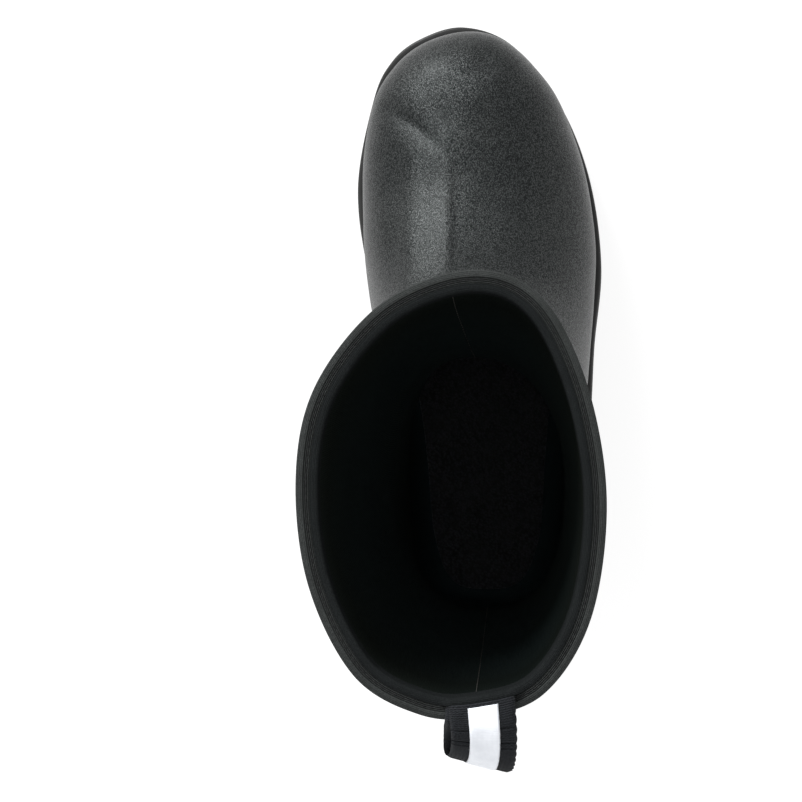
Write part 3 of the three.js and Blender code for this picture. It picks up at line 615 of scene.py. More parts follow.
def seam_tape(name, phi, half, from_t):
    """A sewn tape over a seam of the shaft, domed a little, with thin edges."""
    t = np.linspace(from_t, LAST - 0.33, 120)[:, None]
    across = np.linspace(-1, 1, 13)
    edge = np.sqrt(np.clip(1 - np.abs(across) ** 6, 0, 1))
    top = soft_layer(t, phi + half * across, 0.15 + 1.05 * edge)[0]
    under = soft_layer(t, phi + half * across[::-1], -0.25)[0]
    return sweep(name, np.concatenate([top, under], 1), False)


# === Collar ===

COLLAR_PHI = TURN * np.arange(512) / 512

# The depths of the grooves along the tape, and how far below the topline its side is sewn.
TAPE_GROOVES = (-1.2, -1.8, -2.4, -2.97)
TAPE_STITCH_Z = -9.4


def topline_points(phi, depth, height):
    """Points over the topline, or on the shaft's side for heights below it, and the normal there."""
    rate = np.linalg.norm(surface(LAST, phi) - surface(LAST - 0.1, phi), axis=-1) / 0.1
    p, normal = layer(LAST - np.maximum(0, -height) / rate, phi, depth)
    p[:, 2] += np.maximum(0, height)
    return p, normal


def collar_ring(name, profile):
    """A ring round the topline. A profile point is [depth, height over the topline]."""
    return sweep(name, np.stack([topline_points(COLLAR_PHI, *point)[0] for point in profile], 1), True)


def arc(centre, radius, start, end, count):
    """Profile points on an arc, in degrees."""
    a = np.radians(np.linspace(start, end, count))
    return [[centre[0] + radius * math.cos(k), centre[1] + radius * math.sin(k)] for k in a]


def tape_profile():
    """Up the outside, round the edge and in over the topline, with fine grooves before its inner edge."""
    top = out = GAP + BINDING
    points = [[0.1, -12], [1.1, -12.1], [1.4, -11.6], [1.5, -10.9]]
    z = np.linspace(-10.5, -0.4, 34)
    dents = 0.16 * (hump(z, TAPE_STITCH_Z, 0.45) + hump(z, -1.6, 0.4))
    points += np.stack([out - dents, z], 1).tolist()
    points += arc([out - 0.95, top - 0.95], 0.95, 0, 90, 8)[1:]
    depth = np.linspace(0.4, TAPE_EDGE, 40)[1:]
    grooves = sum(0.5 * hump(depth, middle, 0.17) for middle in TAPE_GROOVES)
    crown = 0.22 * hump(depth, -0.35, 0.8)
    points += np.stack([depth, top + crown - grooves], 1).tolist()
    points += [[TAPE_EDGE - 0.05, top - 0.35], [TAPE_EDGE, 0.5], [0, 0.2], [0.1, -0.6]]
    return points


def facing_lift(phi):
    """How far the facing rises where it passes over the pull loop's ends."""
    p = layer(LAST, phi, TAPE_EDGE)[0]
    side = np.abs(p[:, 0] - LOOP_X) - LOOP_WIDTH / 2
    return 2.1 * (1 - smooth((side + 0.5) / 4.5)) * (p[:, 1] > 0)


def facing_profile():
    """From under the tape's edge over the rest of the topline and down the inside."""
    lift = facing_lift(COLLAR_PHI)
    top, inner = GAP + BINDING, -WALL - GAP - BINDING
    points = [[TAPE_EDGE + 0.1, 0.35], [TAPE_EDGE - 0.1, top - 0.15 + lift * 0.95]]
    points += [[TAPE_EDGE - 0.35, top + 0.08 + lift]]
    for i, depth in enumerate(np.linspace(TAPE_EDGE - 0.5, inner + 1.1, 8)):
        points += [[depth, top + 0.12 * math.sin(math.pi * i / 7) + lift * (1 - 0.1 * i / 7)]]
    turn = arc([inner + 1.1, top - 1.1], 1.1, 90, 180, 7)[1:]
    points += [[depth, z + lift * 0.9 * (1 - i / 8)] for i, (depth, z) in enumerate(turn)]
    points += [[inner, z] for z in np.linspace(0.1, -9, 14)] + [[inner + 0.25, -9.6], [inner + 0.9, -9.7]]
    points += [[inner + 0.9, 0.2]]
    return points


# === Pull loop ===

LOOP_X, LOOP_WIDTH, LOOP_THICK = 4.65, 22.2, 1.4
STRIPE_WIDTH, STRIPE_X, STRIPE_THICK, STRIPE_OFF = 10.2, 4.3, 0.4, 0.32

# The stripe starts clear of the facing, so that the loop can swing, and ends at the fold.
STRIPE_FROM, STRIPE_TO = 0.068, 0.49

# The fold's line in plan, and how far out the path below has it.
LOOP_FOLD = [[15.8, 108.2], [-6.4, 113.5]]
LOOP_REACH = 18.4

# The way the webbing wanders sideways along the loop: the share along it, and how far.
LOOP_WANDER = np.array([[0, 0.4], [0.12, -0.1], [0.22, -0.8], [0.32, -0.2], [0.42, 1.5], [0.5, 2.6],
                        [0.6, 2.4], [0.72, 2.1], [0.86, 1.7], [1, 0.8]])
LOOP_PATH = np.array([
    [-5.0, 318.9], [-4.1, 319.25], [-0.5, 319.4], [4.5, 318.6], [10, 315.6], [14.6, 310.6], [17.6, 304.6],
    [18.4, 299.4], [16.6, 296.4], [12.4, 296.6], [7.8, 299.8], [4.6, 305], [2.9, 310.6], [1.9, 315.2],
    [0.1, 317.4], [-4.1, 317.55], [-5.0, 317.3],
])


def rear_wall():
    """The y of the tape's outer face behind the leg, at each x."""
    phi = math.pi + np.linspace(0.9, -0.7, 200)
    p = layer(LAST, phi, GAP + BINDING)[0]
    return lambda x: np.interp(x, p[:, 0], p[:, 1])


def loop_wander():
    """The sideways wander, smoothed."""
    s = np.linspace(0, 1, 200)
    return s, smooth_line(LOOP_WANDER, 0.05)(s)


def loop_points(s, x, out):
    """Points of the loop: s runs along the webbing, x across it, and out is how far off its centre."""
    s, x, out = np.broadcast_arrays(s, x, out)
    p = open_curve(LOOP_PATH, s)
    ahead = unit(open_curve(LOOP_PATH, s + 0.004) - open_curve(LOOP_PATH, s - 0.004))
    reach = p[..., 0] - ahead[..., 1] * out
    z = p[..., 1] + ahead[..., 0] * out
    wall = rear_wall()(x)
    (inner_x, inner_y), (outer_x, outer_y) = LOOP_FOLD
    fold = inner_y + (outer_y - inner_y) * (x - inner_x) / (outer_x - inner_x)
    stretch = np.where(reach > 0, (fold - wall) / LOOP_REACH, 1)
    drift = np.interp(s, *loop_wander())
    return np.stack([x + drift, wall + reach * stretch, z], -1)


def loop_way():
    """The way along the loop's webbing at each s, in millimetres."""
    s = np.linspace(0, 1, 400)
    return s, length_along(loop_points(s, LOOP_X, 0.0))


def loop_strip(name, from_s, to_s, x_middle, width, off, thick, rib, rib_pitch, rows):
    """A band of the loop with ribs across it and a slightly uneven selvedge."""
    s = np.linspace(from_s, to_s, rows)[:, None]
    way = np.interp(s, *loop_way())
    across = np.linspace(-1, 1, 17)
    edge = np.clip(1 - np.abs(across) ** 14, 0, 1) ** 0.5
    ribs = rib * (np.abs(np.sin(math.pi * way / rib_pitch)) - 0.5)
    wrinkle = -0.45 * hump(way, 9.2, 0.4) - 0.6 * hump(way, 14.2, 0.45) - 0.45 * hump(way, 15.9, 0.35)
    uneven = np.where(across < 0, 3.4, 0.4) * rib * (np.abs(np.sin(way * math.pi / 2.9)) - 0.6)
    x = x_middle + across * (width / 2 + uneven * np.abs(across) ** 6)
    top = loop_points(s, x, off + thick / 2 * edge + (ribs + wrinkle * (rib > 0.05)) * edge)
    under = loop_points(s, x[:, ::-1], off - thick / 2 * edge[::-1] - ribs * edge[::-1])
    return sweep(name, np.concatenate([top, under], 1), False)


# === Sole ===

EDGE_LUG = {"pitch": 17, "length": 12.5, "outer": 1.5, "inner": 15}
CHEVRON_LUG = {"thick": 8, "half": 19, "sweep": 8, "clear": 3.5}
CHEVRON_ROWS = [-160, -143, -126, -109, -92, -75, -58, 36, 53]

# A lug's levels: how far each is inset, and its share of the way from the root to the ground.
LUG_STEPS = [(0, -0.25), (0, 0.1), (0.35, 0.8), (0.6, 0.93), (1.1, 1.0)]


def make_outsole():
    """The outsole's plate with rounded edges, a waist line round its side, and its tread."""
    level = lambda share: lambda y: lug_root_at(y) + (outsole_top_at(y) - lug_root_at(y)) * share
    steps = [(1.6, 0.0), (0.7, 0.05), (0.2, 0.16), (0.0, 0.3), (0.0, 0.46), (0.5, 0.52), (0.5, 0.58),
             (0.0, 0.64), (0.0, 0.8), (0.25, 0.92), (0.9, 1.0), (3.2, 1.0)]
    slab = plate("lugged_outsole", [(inset_outline(SOLE_OUTLINE, i), level(s)) for i, s in steps])
    tread = make_tread()
    edit(slab, lambda bm: bm.from_mesh(tread.data))
    bpy.data.objects.remove(tread)
    return slab


def edge_lug_polygons():
    """The lugs in a row round the sole's edge, in plan."""
    outer, inner = [inset_outline(SOLE_OUTLINE, EDGE_LUG[k]) for k in ("outer", "inner")]
    way = length_along(np.vstack([outer, outer[:1]]))
    count = round(way[-1] / EDGE_LUG["pitch"])
    share = np.arange(len(way)) % len(outer)
    at = lambda line, s: np.stack([np.interp(s % way[-1], way, line[share, k]) for k in (0, 1)], -1)
    for k in range(count):
        start = way[-1] * k / count
        out = at(outer, start + np.linspace(0, EDGE_LUG["length"], 7))
        back = at(inner, start + np.linspace(EDGE_LUG["length"], 0, 4))
        yield np.vstack([out, back])


def chevron_polygons():
    """The V-shaped lugs across the middle of the forefoot and the heel, in plan."""
    field = inset_outline(SOLE_OUTLINE, EDGE_LUG["inner"] + CHEVRON_LUG["clear"])
    (inner, outer), _, _ = outline_limits(rolled(field))
    for y in CHEVRON_ROWS:
        right, left = float(inner(y)), float(outer(y))
        middle, half = (right + left) / 2, min(CHEVRON_LUG["half"], (right - left) / 2)
        x = middle + half * np.array([-1, -0.5, 0, 0.5, 1])
        back = y + CHEVRON_LUG["sweep"] * np.array([1, 0.5, 0, 0.5, 1])
        yield np.vstack([np.stack([x, back], 1), np.stack([x, back + CHEVRON_LUG["thick"]], 1)[::-1]])


def make_tread():
    """The lugs: prisms with drafted sides and rounded shoulders that stand on the ground."""
    vertices, faces = [], []
    for polygon in [*edge_lug_polygons(), *chevron_polygons()]:
        if not np.all((polygon[:, 1] < -46) | (polygon[:, 1] > HEEL_BREAST_Y + 2)):
            continue
        x, y = polygon.T
        if np.sum(x * np.roll(y, -1) - y * np.roll(x, -1)) < 0:
            polygon = polygon[::-1]
        faces += tube_faces(len(LUG_STEPS), len(polygon), len(vertices))
        y = polygon[:, 1]
        for inset, share in LUG_STEPS:
            ring = inset_outline(polygon, inset)
            z = lug_root_at(y) + (spring(y) - lug_root_at(y)) * share
            vertices += np.column_stack([ring, z]).tolist()
    corners = [v for face in faces for v in face]
    return make_object("tread", vertices, faces, np.array(vertices)[corners, :2] * MM)


def make_foxing():
    """The band round the sole's top: fine ribs on its side, and a rolled top edge against the shell."""
    outline = SOLE_OUTLINE[::2]
    shell_face = lambda t, phi: shell_inner(t, phi) + RUBBER
    shell_line = level_outline(shell_face, FOXING_RISE, 240)[:, :2]
    inward = inset_outline(outline, 1) - outline
    reach = first_crossing(outline, inward, shell_line)
    y = outline[:, 1]
    low, high = outsole_top_at(y) - 0.2, floor_at(y) + FOXING_RISE
    profile = []
    for share in np.linspace(0, 0.86, 44):
        rib = 0.42 * (np.cos(TURN * (share - 0.3) / 0.145) > -0.2) * (0.28 < share < 0.8)
        profile.append((FOXING_INSET + 0.15 - rib, low + (high - low) * share))
    for a in np.linspace(0, 1.57, 7):
        inset = FOXING_INSET - 0.25 + 1.1 * (1 - math.cos(a))
        profile.append((inset, low + (high - low) * (0.9 + 0.1 * math.sin(a))))
    inner = np.clip(reach + 0.25, FOXING_INSET + 1.0, 5.5)[:, None]
    back = FOXING_INSET + FOXING
    profile += [(inner - 0.5, high - 0.05), (inner, high - 0.5)]
    profile += [(np.maximum(inner, back), high - 5), (back, low)]
    rows = [np.column_stack([outline + inward * inset, z]) for inset, z in profile]
    return sweep("foxing", np.stack(rows, 1), True)


def first_crossing(points, inward, line):
    """How far along its inward direction each point meets a closed line."""
    a, b = line, np.roll(line, -1, 0)
    edge = b - a
    d, p = inward[:, None], points[:, None]
    cross = d[..., 0] * edge[:, 1] - d[..., 1] * edge[:, 0]
    cross = np.where(np.abs(cross) < 1e-9, 1e-9, cross)
    offset = a - p
    along = (offset[..., 0] * edge[:, 1] - offset[..., 1] * edge[:, 0]) / cross
    share = (offset[..., 0] * d[..., 1] - offset[..., 1] * d[..., 0]) / cross
    hit = (share >= 0) & (share <= 1) & (along > -3) & (along < 12)
    return np.where(hit, along, 12).min(1)


# === Footbed ===


def footbed_plate(name, low, high, crown, edge):
    """A slab of the bootie's inside between two rises, with rounded edges and a crowned top."""
    steps = [(0.0, 0.9), (0.12, 0.25), (0.4, 0.0), (0.75, 0.1), (0.92, 0.5 * edge), (1.0, edge)]
    levels = []
    for share, inset in steps:
        rise = low + (high - low) * share
        around = level_outline(-WALL - FOOTBED_CLEAR, rise, 90, cup_roundness)[:, :2]
        outline = inset_outline(rolled(around), inset)
        outline[:, 1] += FOOTBED_TIP_CLEAR * between(-outline[:, 1], 160, 180)
        levels.append((outline, lambda y, rise=rise: floor_at(y) + rise))
    obj = plate(name, levels, rows=110, columns=33)
    shape_top(obj, high, crown)
    return obj


def shape_top(obj, high, crown):
    """Crowns the arch side of a footbed's top and cups its heel."""
    co = np.empty(len(obj.data.vertices) * 3)
    obj.data.vertices.foreach_get("co", co)
    co = (co.reshape(-1, 3) - SHIFT) / MM
    x, y, z = co.T
    top = smooth((z - floor_at(y) - high + 0.6) / 0.6)
    heel = -1.0 * hump(x, 5, 17) * hump(y, 40, 26)
    arch = 1.2 * hump(x, 30, 10) * hump(y, -20, 26)
    rumple = 0.18 * np.sin(x / 5.3 + 1.3 * np.sin(y / 11)) * np.sin(y / 7.7)
    co[:, 2] += top * crown * (heel + arch + rumple)
    obj.data.vertices.foreach_set("co", (co * MM + SHIFT).ravel())
    obj.data.update()


# === Materials ===


class Nodes:
    """Short ways to add nodes to a node tree."""

    def __init__(self, tree):
        self.tree = tree

    def node(self, kind, inputs=(), **properties):
        made = self.tree.nodes.new(kind)
        for key, value in properties.items():
            setattr(made, key, value)
        for key, value in dict(inputs).items():
            if isinstance(value, bpy.types.NodeSocket):
                self.tree.links.new(value, made.inputs[key])
            else:
                made.inputs[key].default_value = value
        return made

    def math(self, operation, a, b=0.0, clamp=False):
        return self.node("ShaderNodeMath", {0: a, 1: b}, operation=operation, use_clamp=clamp).outputs[0]

    def total(self, *terms):
        """The sum of its terms. A term is a value, or a value and its weight."""
        values = [self.math("MULTIPLY", *term) if isinstance(term, tuple) else term for term in terms]
        added = values[0]
        for value in values[1:]:
            added = self.math("ADD", added, value)
        return added

    def spread(self, value, low, high, to_low, to_high):
        inputs = {"Value": value, "From Min": low, "From Max": high, "To Min": to_low, "To Max": to_high}
        return self.node("ShaderNodeMapRange", inputs).outputs[0]


class Shader(Nodes):
    """A material and short ways to add nodes to it."""

    def __init__(self, name, **settings):
        self.material = bpy.data.materials.new(name)
        self.material.use_nodes = True
        super().__init__(self.material.node_tree)
        self.base = self.tree.nodes["Principled BSDF"]
        for socket, value in settings.items():
            self.base.inputs[socket.replace("_", " ")].default_value = value

    def coordinates(self, scale=(1, 1, 1), turn=(0, 0, 0)):
        where = self.node("ShaderNodeTexCoord").outputs["Object"]
        inputs = {"Vector": where, "Scale": scale, "Rotation": turn}
        return self.node("ShaderNodeMapping", inputs).outputs[0]

    def cloth(self):
        """The two cloth coordinates in metres."""
        uv = self.node("ShaderNodeUVMap", uv_map=CLOTH).outputs[0]
        split = self.node("ShaderNodeSeparateXYZ", {0: uv})
        return split.outputs[0], split.outputs[1]

    def noise(self, scale, detail, vector=None):
        vector = vector or self.coordinates()
        inputs = {"Vector": vector, "Scale": scale, "Detail": detail, "Roughness": 0.55}
        return self.node("ShaderNodeTexNoise", inputs).outputs["Fac"]

    def cells(self, scale, vector=None, output="Distance"):
        inputs = {"Vector": vector or self.coordinates(), "Scale": scale}
        return self.node("ShaderNodeTexVoronoi", inputs).outputs[output]

    def wave(self, coordinate, pitch, phase=0.0):
        """A sine of a coordinate in metres, from -1 to 1."""
        return self.math("SINE", self.total((coordinate, TURN / pitch), phase))

    def mix(self, factor, a, b):
        a, b = [v if isinstance(v, bpy.types.NodeSocket) else (*v, 1) for v in (a, b)]
        return self.node("ShaderNodeMix", {"Factor": factor, 6: a, 7: b}, data_type="RGBA").outputs[2]

    def bump(self, height, distance, strength):
        inputs = {"Height": height, "Distance": distance, "Strength": strength}
        return self.node("ShaderNodeBump", inputs).outputs[0]

    def raised(self):
        """How far the surface stands out, from 0 in a valley to 1 on an edge."""
        return self.node("ShaderNodeNewGeometry").outputs["Pointiness"]

    def finish(self, color, roughness=None, normal=None):
        for socket, value in (("Base Color", color), ("Roughness", roughness), ("Normal", normal)):
            if value is not None:
                self.tree.links.new(value, self.base.inputs[socket])
        return self.material


def shell_rubber():
    """Satin rubber with a pebbled leather grain, drawn out along a slant, dull in its crevices. Its colour
    has the grain's random tone, with painted highlight on the pebble tops and painted shade in the valleys
    between them.
    """
    m = Shader("shell_rubber_grained", Specular_Tint=(0.93, 1, 0.99, 1))
    slant = m.coordinates((1, 0.55, 1), (0, 0, math.radians(38)))
    dome = m.spread(m.cells(2600, slant), 0.0, 0.62, 1, 0)
    speck = m.node("ShaderNodeSeparateColor", {0: m.cells(2600, slant, output="Color")}).outputs[0]
    fine = m.noise(3200, 2)
    streaks = m.noise(1000, 3, m.coordinates((1, 0.4, 1), (0, 0, math.radians(-52))))
    patches = m.noise(34, 4)
    grain = m.total((dome, 0.8), (speck, 0.45))
    color = m.mix(m.spread(patches, 0.35, 0.7, 0, 1), (0.0025, 0.003, 0.0033), (0.005, 0.0056, 0.0056))
    # Painted highlight and painted shade: pebble tops are painted lighter and the valleys between them
    # darker, over the grain's random tone.
    color = m.mix(m.spread(grain, 0.5, 1.15, 0, 0.4), color, (0.017, 0.018, 0.0172))
    shine = m.total((grain, 0.7), (fine, 0.6))
    m.tree.links.new(m.spread(shine, 0.45, 1.15, 0.1, 0.9), m.base.inputs["Specular IOR Level"])
    rough = m.total(m.spread(patches, 0.3, 0.7, 0.25, 0.3), m.spread(dome, 0.1, 0.9, 0.08, 0.0))
    height = m.total(grain, (fine, 0.4), (streaks, 0.55))
    return m.finish(color, rough, m.bump(height, 0.00009, 1.0))


def plain_rubber(name, dark, light, rough, scuff):
    """Moulded rubber with a fine matt skin, bloom and scuffs on what stands out."""
    m = Shader(name, Specular_IOR_Level=0.3)
    fine = m.noise(1700, 3)
    patches = m.noise(46, 5)
    edges = m.spread(m.raised(), 0.5, 0.58, 0, 1)
    worn = m.math("MULTIPLY", edges, m.spread(m.noise(260, 4), 0.35, 0.65, 0.2, 1), clamp=True)
    color = m.mix(m.spread(patches, 0.3, 0.7, 0, 1), dark, light)
    color = m.mix(m.math("MULTIPLY", worn, scuff), color, (0.07, 0.07, 0.067))
    sheen = m.spread(patches, 0.25, 0.75, rough - 0.06, rough + 0.08)
    return m.finish(color, sheen, m.bump(m.total(fine, (patches, 2.0)), 0.0001, 0.6))


def neoprene_cloth():
    """A tight jersey knit: columns of small V stitches over soft foam."""
    m = Shader("neoprene_jersey", Sheen_Weight=0.06, Sheen_Roughness=0.45, Sheen_Tint=(0.75, 0.78, 0.8, 1),
               Specular_IOR_Level=0.2)
    u, v = m.cloth()
    column = m.math("ABSOLUTE", m.wave(u, 0.00095))
    row = m.wave(m.total(v, (column, 0.00028)), 0.00072)
    knit = m.total((column, 0.6), (row, 0.35))
    fuzz = m.noise(3200, 3)
    patches = m.noise(28, 4)
    color = m.mix(m.spread(patches, 0.3, 0.7, 0, 1), (0.006, 0.0065, 0.007), (0.0115, 0.012, 0.0125))
    color = m.mix(m.spread(knit, -0.3, 0.9, 0, 0.55), color, (0.02, 0.021, 0.022))
    height = m.total(knit, (fuzz, 0.5))
    return m.finish(color, m.spread(fuzz, 0.3, 0.7, 0.72, 0.9), m.bump(height, 0.00016, 0.7))


def lining_cloth():
    """A smooth, dark warp knit with a faint nap. Its colour is painted darker towards its top edge as
    painted shade, and lighter low in the cup as painted light.
    """
    m = Shader("lining_warp_knit", Sheen_Weight=0.02, Sheen_Roughness=0.5, Sheen_Tint=(0.6, 0.68, 0.55, 1),
               Specular_IOR_Level=0.0)
    u, v = m.cloth()
    ribs = m.total(m.wave(u, 0.0008), (m.wave(v, 0.0011), 0.5))
    nap = m.noise(900, 5)
    patches = m.noise(22, 3)
    depth = m.node("ShaderNodeSeparateXYZ", {0: m.coordinates()}).outputs[2]
    color = m.mix(m.spread(patches, 0.3, 0.7, 0, 1), (0.014, 0.023, 0.0255), (0.022, 0.034, 0.036))
    color = m.mix(m.spread(nap, 0.4, 0.75, 0, 0.5), color, (0.034, 0.049, 0.048))
    # Painted shade: the lining is painted much darker towards its top edge, where the lamps light it.
    color = m.mix(m.spread(depth, 0.16, 0.27, 0, 0.92), color, (0.0018, 0.0025, 0.0021))
    # Painted light: the lining is painted lighter low in the cup, where it lies in shadow.
    color = m.mix(m.spread(depth, 0.02, 0.09, 0.8, 0), color, (0.05, 0.075, 0.08))
    height = m.total((ribs, 0.3), nap)
    return m.finish(color, m.spread(nap, 0.3, 0.7, 0.8, 0.95), m.bump(height, 0.00018, 0.6))


def tape_cloth(name, pitch_u, pitch_v, dark, light, across=0.4, along=0.0, gloss=0.07):
    """A woven tape: threads over and under each other, ribs across it, a little fuzz, and painted shade
    that darkens its valleys.
    """
    m = Shader(name, Sheen_Weight=0.5 * gloss, Sheen_Roughness=0.4, Sheen_Tint=(0.8, 0.82, 0.84, 1),
               Specular_IOR_Level=gloss)
    u, v = m.cloth()
    weave = m.math("MULTIPLY", m.wave(u, pitch_u), m.wave(v, pitch_v))
    ribs = (m.wave(v, pitch_v, -1.57), across), (m.wave(u, pitch_u, -1.57), along)
    over = m.total((weave, 1 - across - along), *ribs)
    fuzz = m.noise(2600, 3)
    patches = m.noise(90, 4)
    valley = m.spread(m.raised(), 0.42, 0.495, 1, 0)
    color = m.mix(m.spread(over, -0.7, 0.8, 0, 1), dark, light)
    color = m.mix(m.spread(fuzz, 0.4, 0.7, 0, 0.7), color, tuple(1.8 * k for k in light))
    color = m.mix(m.spread(patches, 0.35, 0.7, 0, 0.35), color, dark)
    # Painted shade: the tape's grooves and other hollows are painted darker.
    color = m.mix(m.math("MULTIPLY", valley, 0.85), color, tuple(0.2 * k for k in dark))
    height = m.total((over, 0.5), (fuzz, 0.8))
    return m.finish(color, m.spread(fuzz, 0.3, 0.7, 0.62, 0.85), m.bump(height, 0.00016, 0.9))


def stripe_tape():
    """Tight white satin tape with fine lengthwise threads."""
    m = Shader("stripe_satin", Sheen_Weight=0.15, Sheen_Roughness=0.3)
    u, v = m.cloth()
    threads = m.total(m.wave(u, 0.00042), (m.wave(v, 0.0006), 0.5))
    patches = m.noise(180, 3)
    color = m.mix(m.spread(patches, 0.35, 0.7, 0, 1), (0.84, 0.865, 0.91), (0.74, 0.765, 0.81))
    color = m.mix(m.spread(threads, -1.2, 1.2, 0.35, 0), color, (0.5, 0.52, 0.57))
    return m.finish(color, m.spread(patches, 0.3, 0.7, 0.42, 0.55), m.bump(threads, 0.00005, 0.5))


def flocked_cloth():
    """The footbed's brushed cover: short tufts and a soft mottle."""
    m = Shader("footbed_flock", Sheen_Weight=0.5, Sheen_Roughness=0.55, Sheen_Tint=(0.7, 0.72, 0.78, 1))
    tufts = m.cells(900)
    fine = m.noise(2400, 4)
    patches = m.noise(70, 4)
    color = m.mix(m.spread(tufts, 0.1, 0.7, 0, 1), (0.085, 0.088, 0.1), (0.019, 0.02, 0.0235))
    color = m.mix(m.spread(patches, 0.3, 0.7, 0, 0.6), color, (0.054, 0.057, 0.063))
    height = m.total((fine, 0.8), (tufts, -1.0))
    return m.finish(color, m.spread(fine, 0.3, 0.7, 0.85, 0.98), m.bump(height, 0.0005, 0.9))


def cellular(name, dark, light, scale, rough):
    """Foam or felt: small open cells and a soft mottle."""
    m = Shader(name)
    pores = m.cells(scale)
    patches = m.noise(55, 4)
    color = m.mix(m.spread(patches, 0.3, 0.7, 0, 1), dark, light)
    color = m.mix(m.spread(pores, 0.0, 0.35, 0.5, 0), color, tuple(0.4 * k for k in dark))
    return m.finish(color, m.spread(patches, 0.3, 0.7, rough, 0.97), m.bump(pores, 0.00025, 0.7))


def fibre_board():
    m = Shader("insole_fibre_board")
    fibres = m.noise(700, 4, m.coordinates((1, 0.12, 1), (0, 0, 0.3)))
    specks = m.noise(1500, 2)
    color = m.mix(m.spread(fibres, 0.3, 0.7, 0, 1), (0.33, 0.25, 0.17), (0.5, 0.4, 0.28))
    color = m.mix(m.spread(specks, 0.62, 0.7, 0, 0.6), color, (0.16, 0.11, 0.07))
    return m.finish(color, m.spread(specks, 0.3, 0.7, 0.78, 0.92), m.bump(fibres, 0.0001, 0.6))


def rolled_steel():
    m = Shader("shank_rolled_steel", Metallic=1.0)
    lines = m.noise(900, 3, m.coordinates((1, 0.02, 1)))
    stains = m.noise(90, 4)
    color = m.mix(m.spread(stains, 0.35, 0.75, 0, 1), (0.58, 0.59, 0.6), (0.42, 0.42, 0.42))
    return m.finish(color, m.spread(lines, 0.3, 0.7, 0.25, 0.45), m.bump(lines, 0.00003, 0.5))


def thread(name, color):
    """Twisted sewing thread."""
    m = Shader(name, Sheen_Weight=0.05, Sheen_Roughness=0.35, Specular_IOR_Level=0.15)
    twist = m.noise(2600, 2, m.coordinates((1, 1, 0.5), (0.4, 0.3, 0.8)))
    shade = m.mix(m.spread(twist, 0.3, 0.7, 0, 1), tuple(0.6 * k for k in color), color)
    return m.finish(shade, m.spread(twist, 0.3, 0.7, 0.5, 0.75), m.bump(twist, 0.00008, 0.7))


# === The boot ===

ANKLE_START, ANKLE_END = (17.9, 146.0), (17.9, 204.0)


def dress(obj, material):
    obj.data.materials.clear()
    obj.data.materials.append(material)
    return obj


def bend_at_ankle(obj):
    """The piece crosses the ankle; its placement is baked into its mesh, and the ankle's start and end are
    worked out but not used.
    """
    start, end = [placed((0, y, z)) for y, z in (ANKLE_START, ANKLE_END)]
    tuple(start)
    tuple(end)
    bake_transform(obj)


def build_sole():
    sole = make_outsole()
    dress(sole, plain_rubber("outsole_rubber", (0.012, 0.0125, 0.013), (0.024, 0.0245, 0.025), 0.62, 0.3))
    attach(sole, "foot")
    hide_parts("outsole")
    band = make_foxing()
    dress(band, plain_rubber("foxing_rubber", (0.005, 0.0053, 0.0053), (0.0115, 0.012, 0.0118), 0.5, 0.2))
    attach(band, "foot")
    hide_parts("foxing_band")


def build_upper():
    shell = dress(make_shell(), shell_rubber())
    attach(shell, "foot")
    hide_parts("rubber_shell")
    upper = make_soft_sock("neoprene_upper", 0.0, -NEOPRENE)
    dress(upper, neoprene_cloth())
    bend_at_ankle(upper)
    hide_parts("bootie_foot", "ankle_gusset", "shaft_inner_panel", "shaft_outer_panel")
    lining = make_soft_sock("boot_lining", -NEOPRENE - GAP, -WALL, cup_roundness)
    dress(lining, lining_cloth())
    bend_at_ankle(lining)
    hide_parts("foot_lining", "shaft_lining")


# The shaft's seams: phi, half the tape's width as an angle, the t it starts at, and its stitches' angle.
OUTER_SEAMS = (("front_seam", 0, 0.15, 11.3, 0.118), ("rear_seam", math.pi, 0.185, 14.4, 0.15))
LINING_SEAMS = (("lining_front_seam", -0.02, 9.2), ("lining_rear_seam", math.pi + 0.02, 12.7))


def build_seams():
    """The tapes over the front and rear seams with their sewing, and the seams inside."""
    tape = plain_rubber("seam_tape_rubber", (0.009, 0.0095, 0.0095), (0.016, 0.0165, 0.0165), 0.5, 0.15)
    sewing = thread("sewing_thread", (0.03, 0.031, 0.032))
    for name, phi, half, from_t, edge in OUTER_SEAMS:
        strip = dress(seam_tape(name + "_strip", phi, half, from_t), tape)
        bend_at_ankle(strip)
        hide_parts(name + "_tape")
        for side, sign in (("inner", 1), ("outer", -1)):
            t = np.linspace(from_t + 0.1, LAST - 0.36, 400)
            path, normal = soft_layer(t, phi + sign * edge, 1.2)
            rows = dress(stitches(f"{name}_{side}_stitches", path, normal, 3.4, 2.7, 0.28, 0.12), sewing)
            bend_at_ankle(rows)
    inside = thread("lining_seam_thread", (0.045, 0.043, 0.039))
    for name, phi, from_t in LINING_SEAMS:
        t = np.linspace(from_t, LAST - 0.3, 500)
        path, normal = soft_layer(t, phi, -WALL - 0.05, cup_roundness)
        rows = dress(stitches(name, path, -normal, 3.2, 2.3, 0.2, 0.06), inside)
        bend_at_ankle(rows)


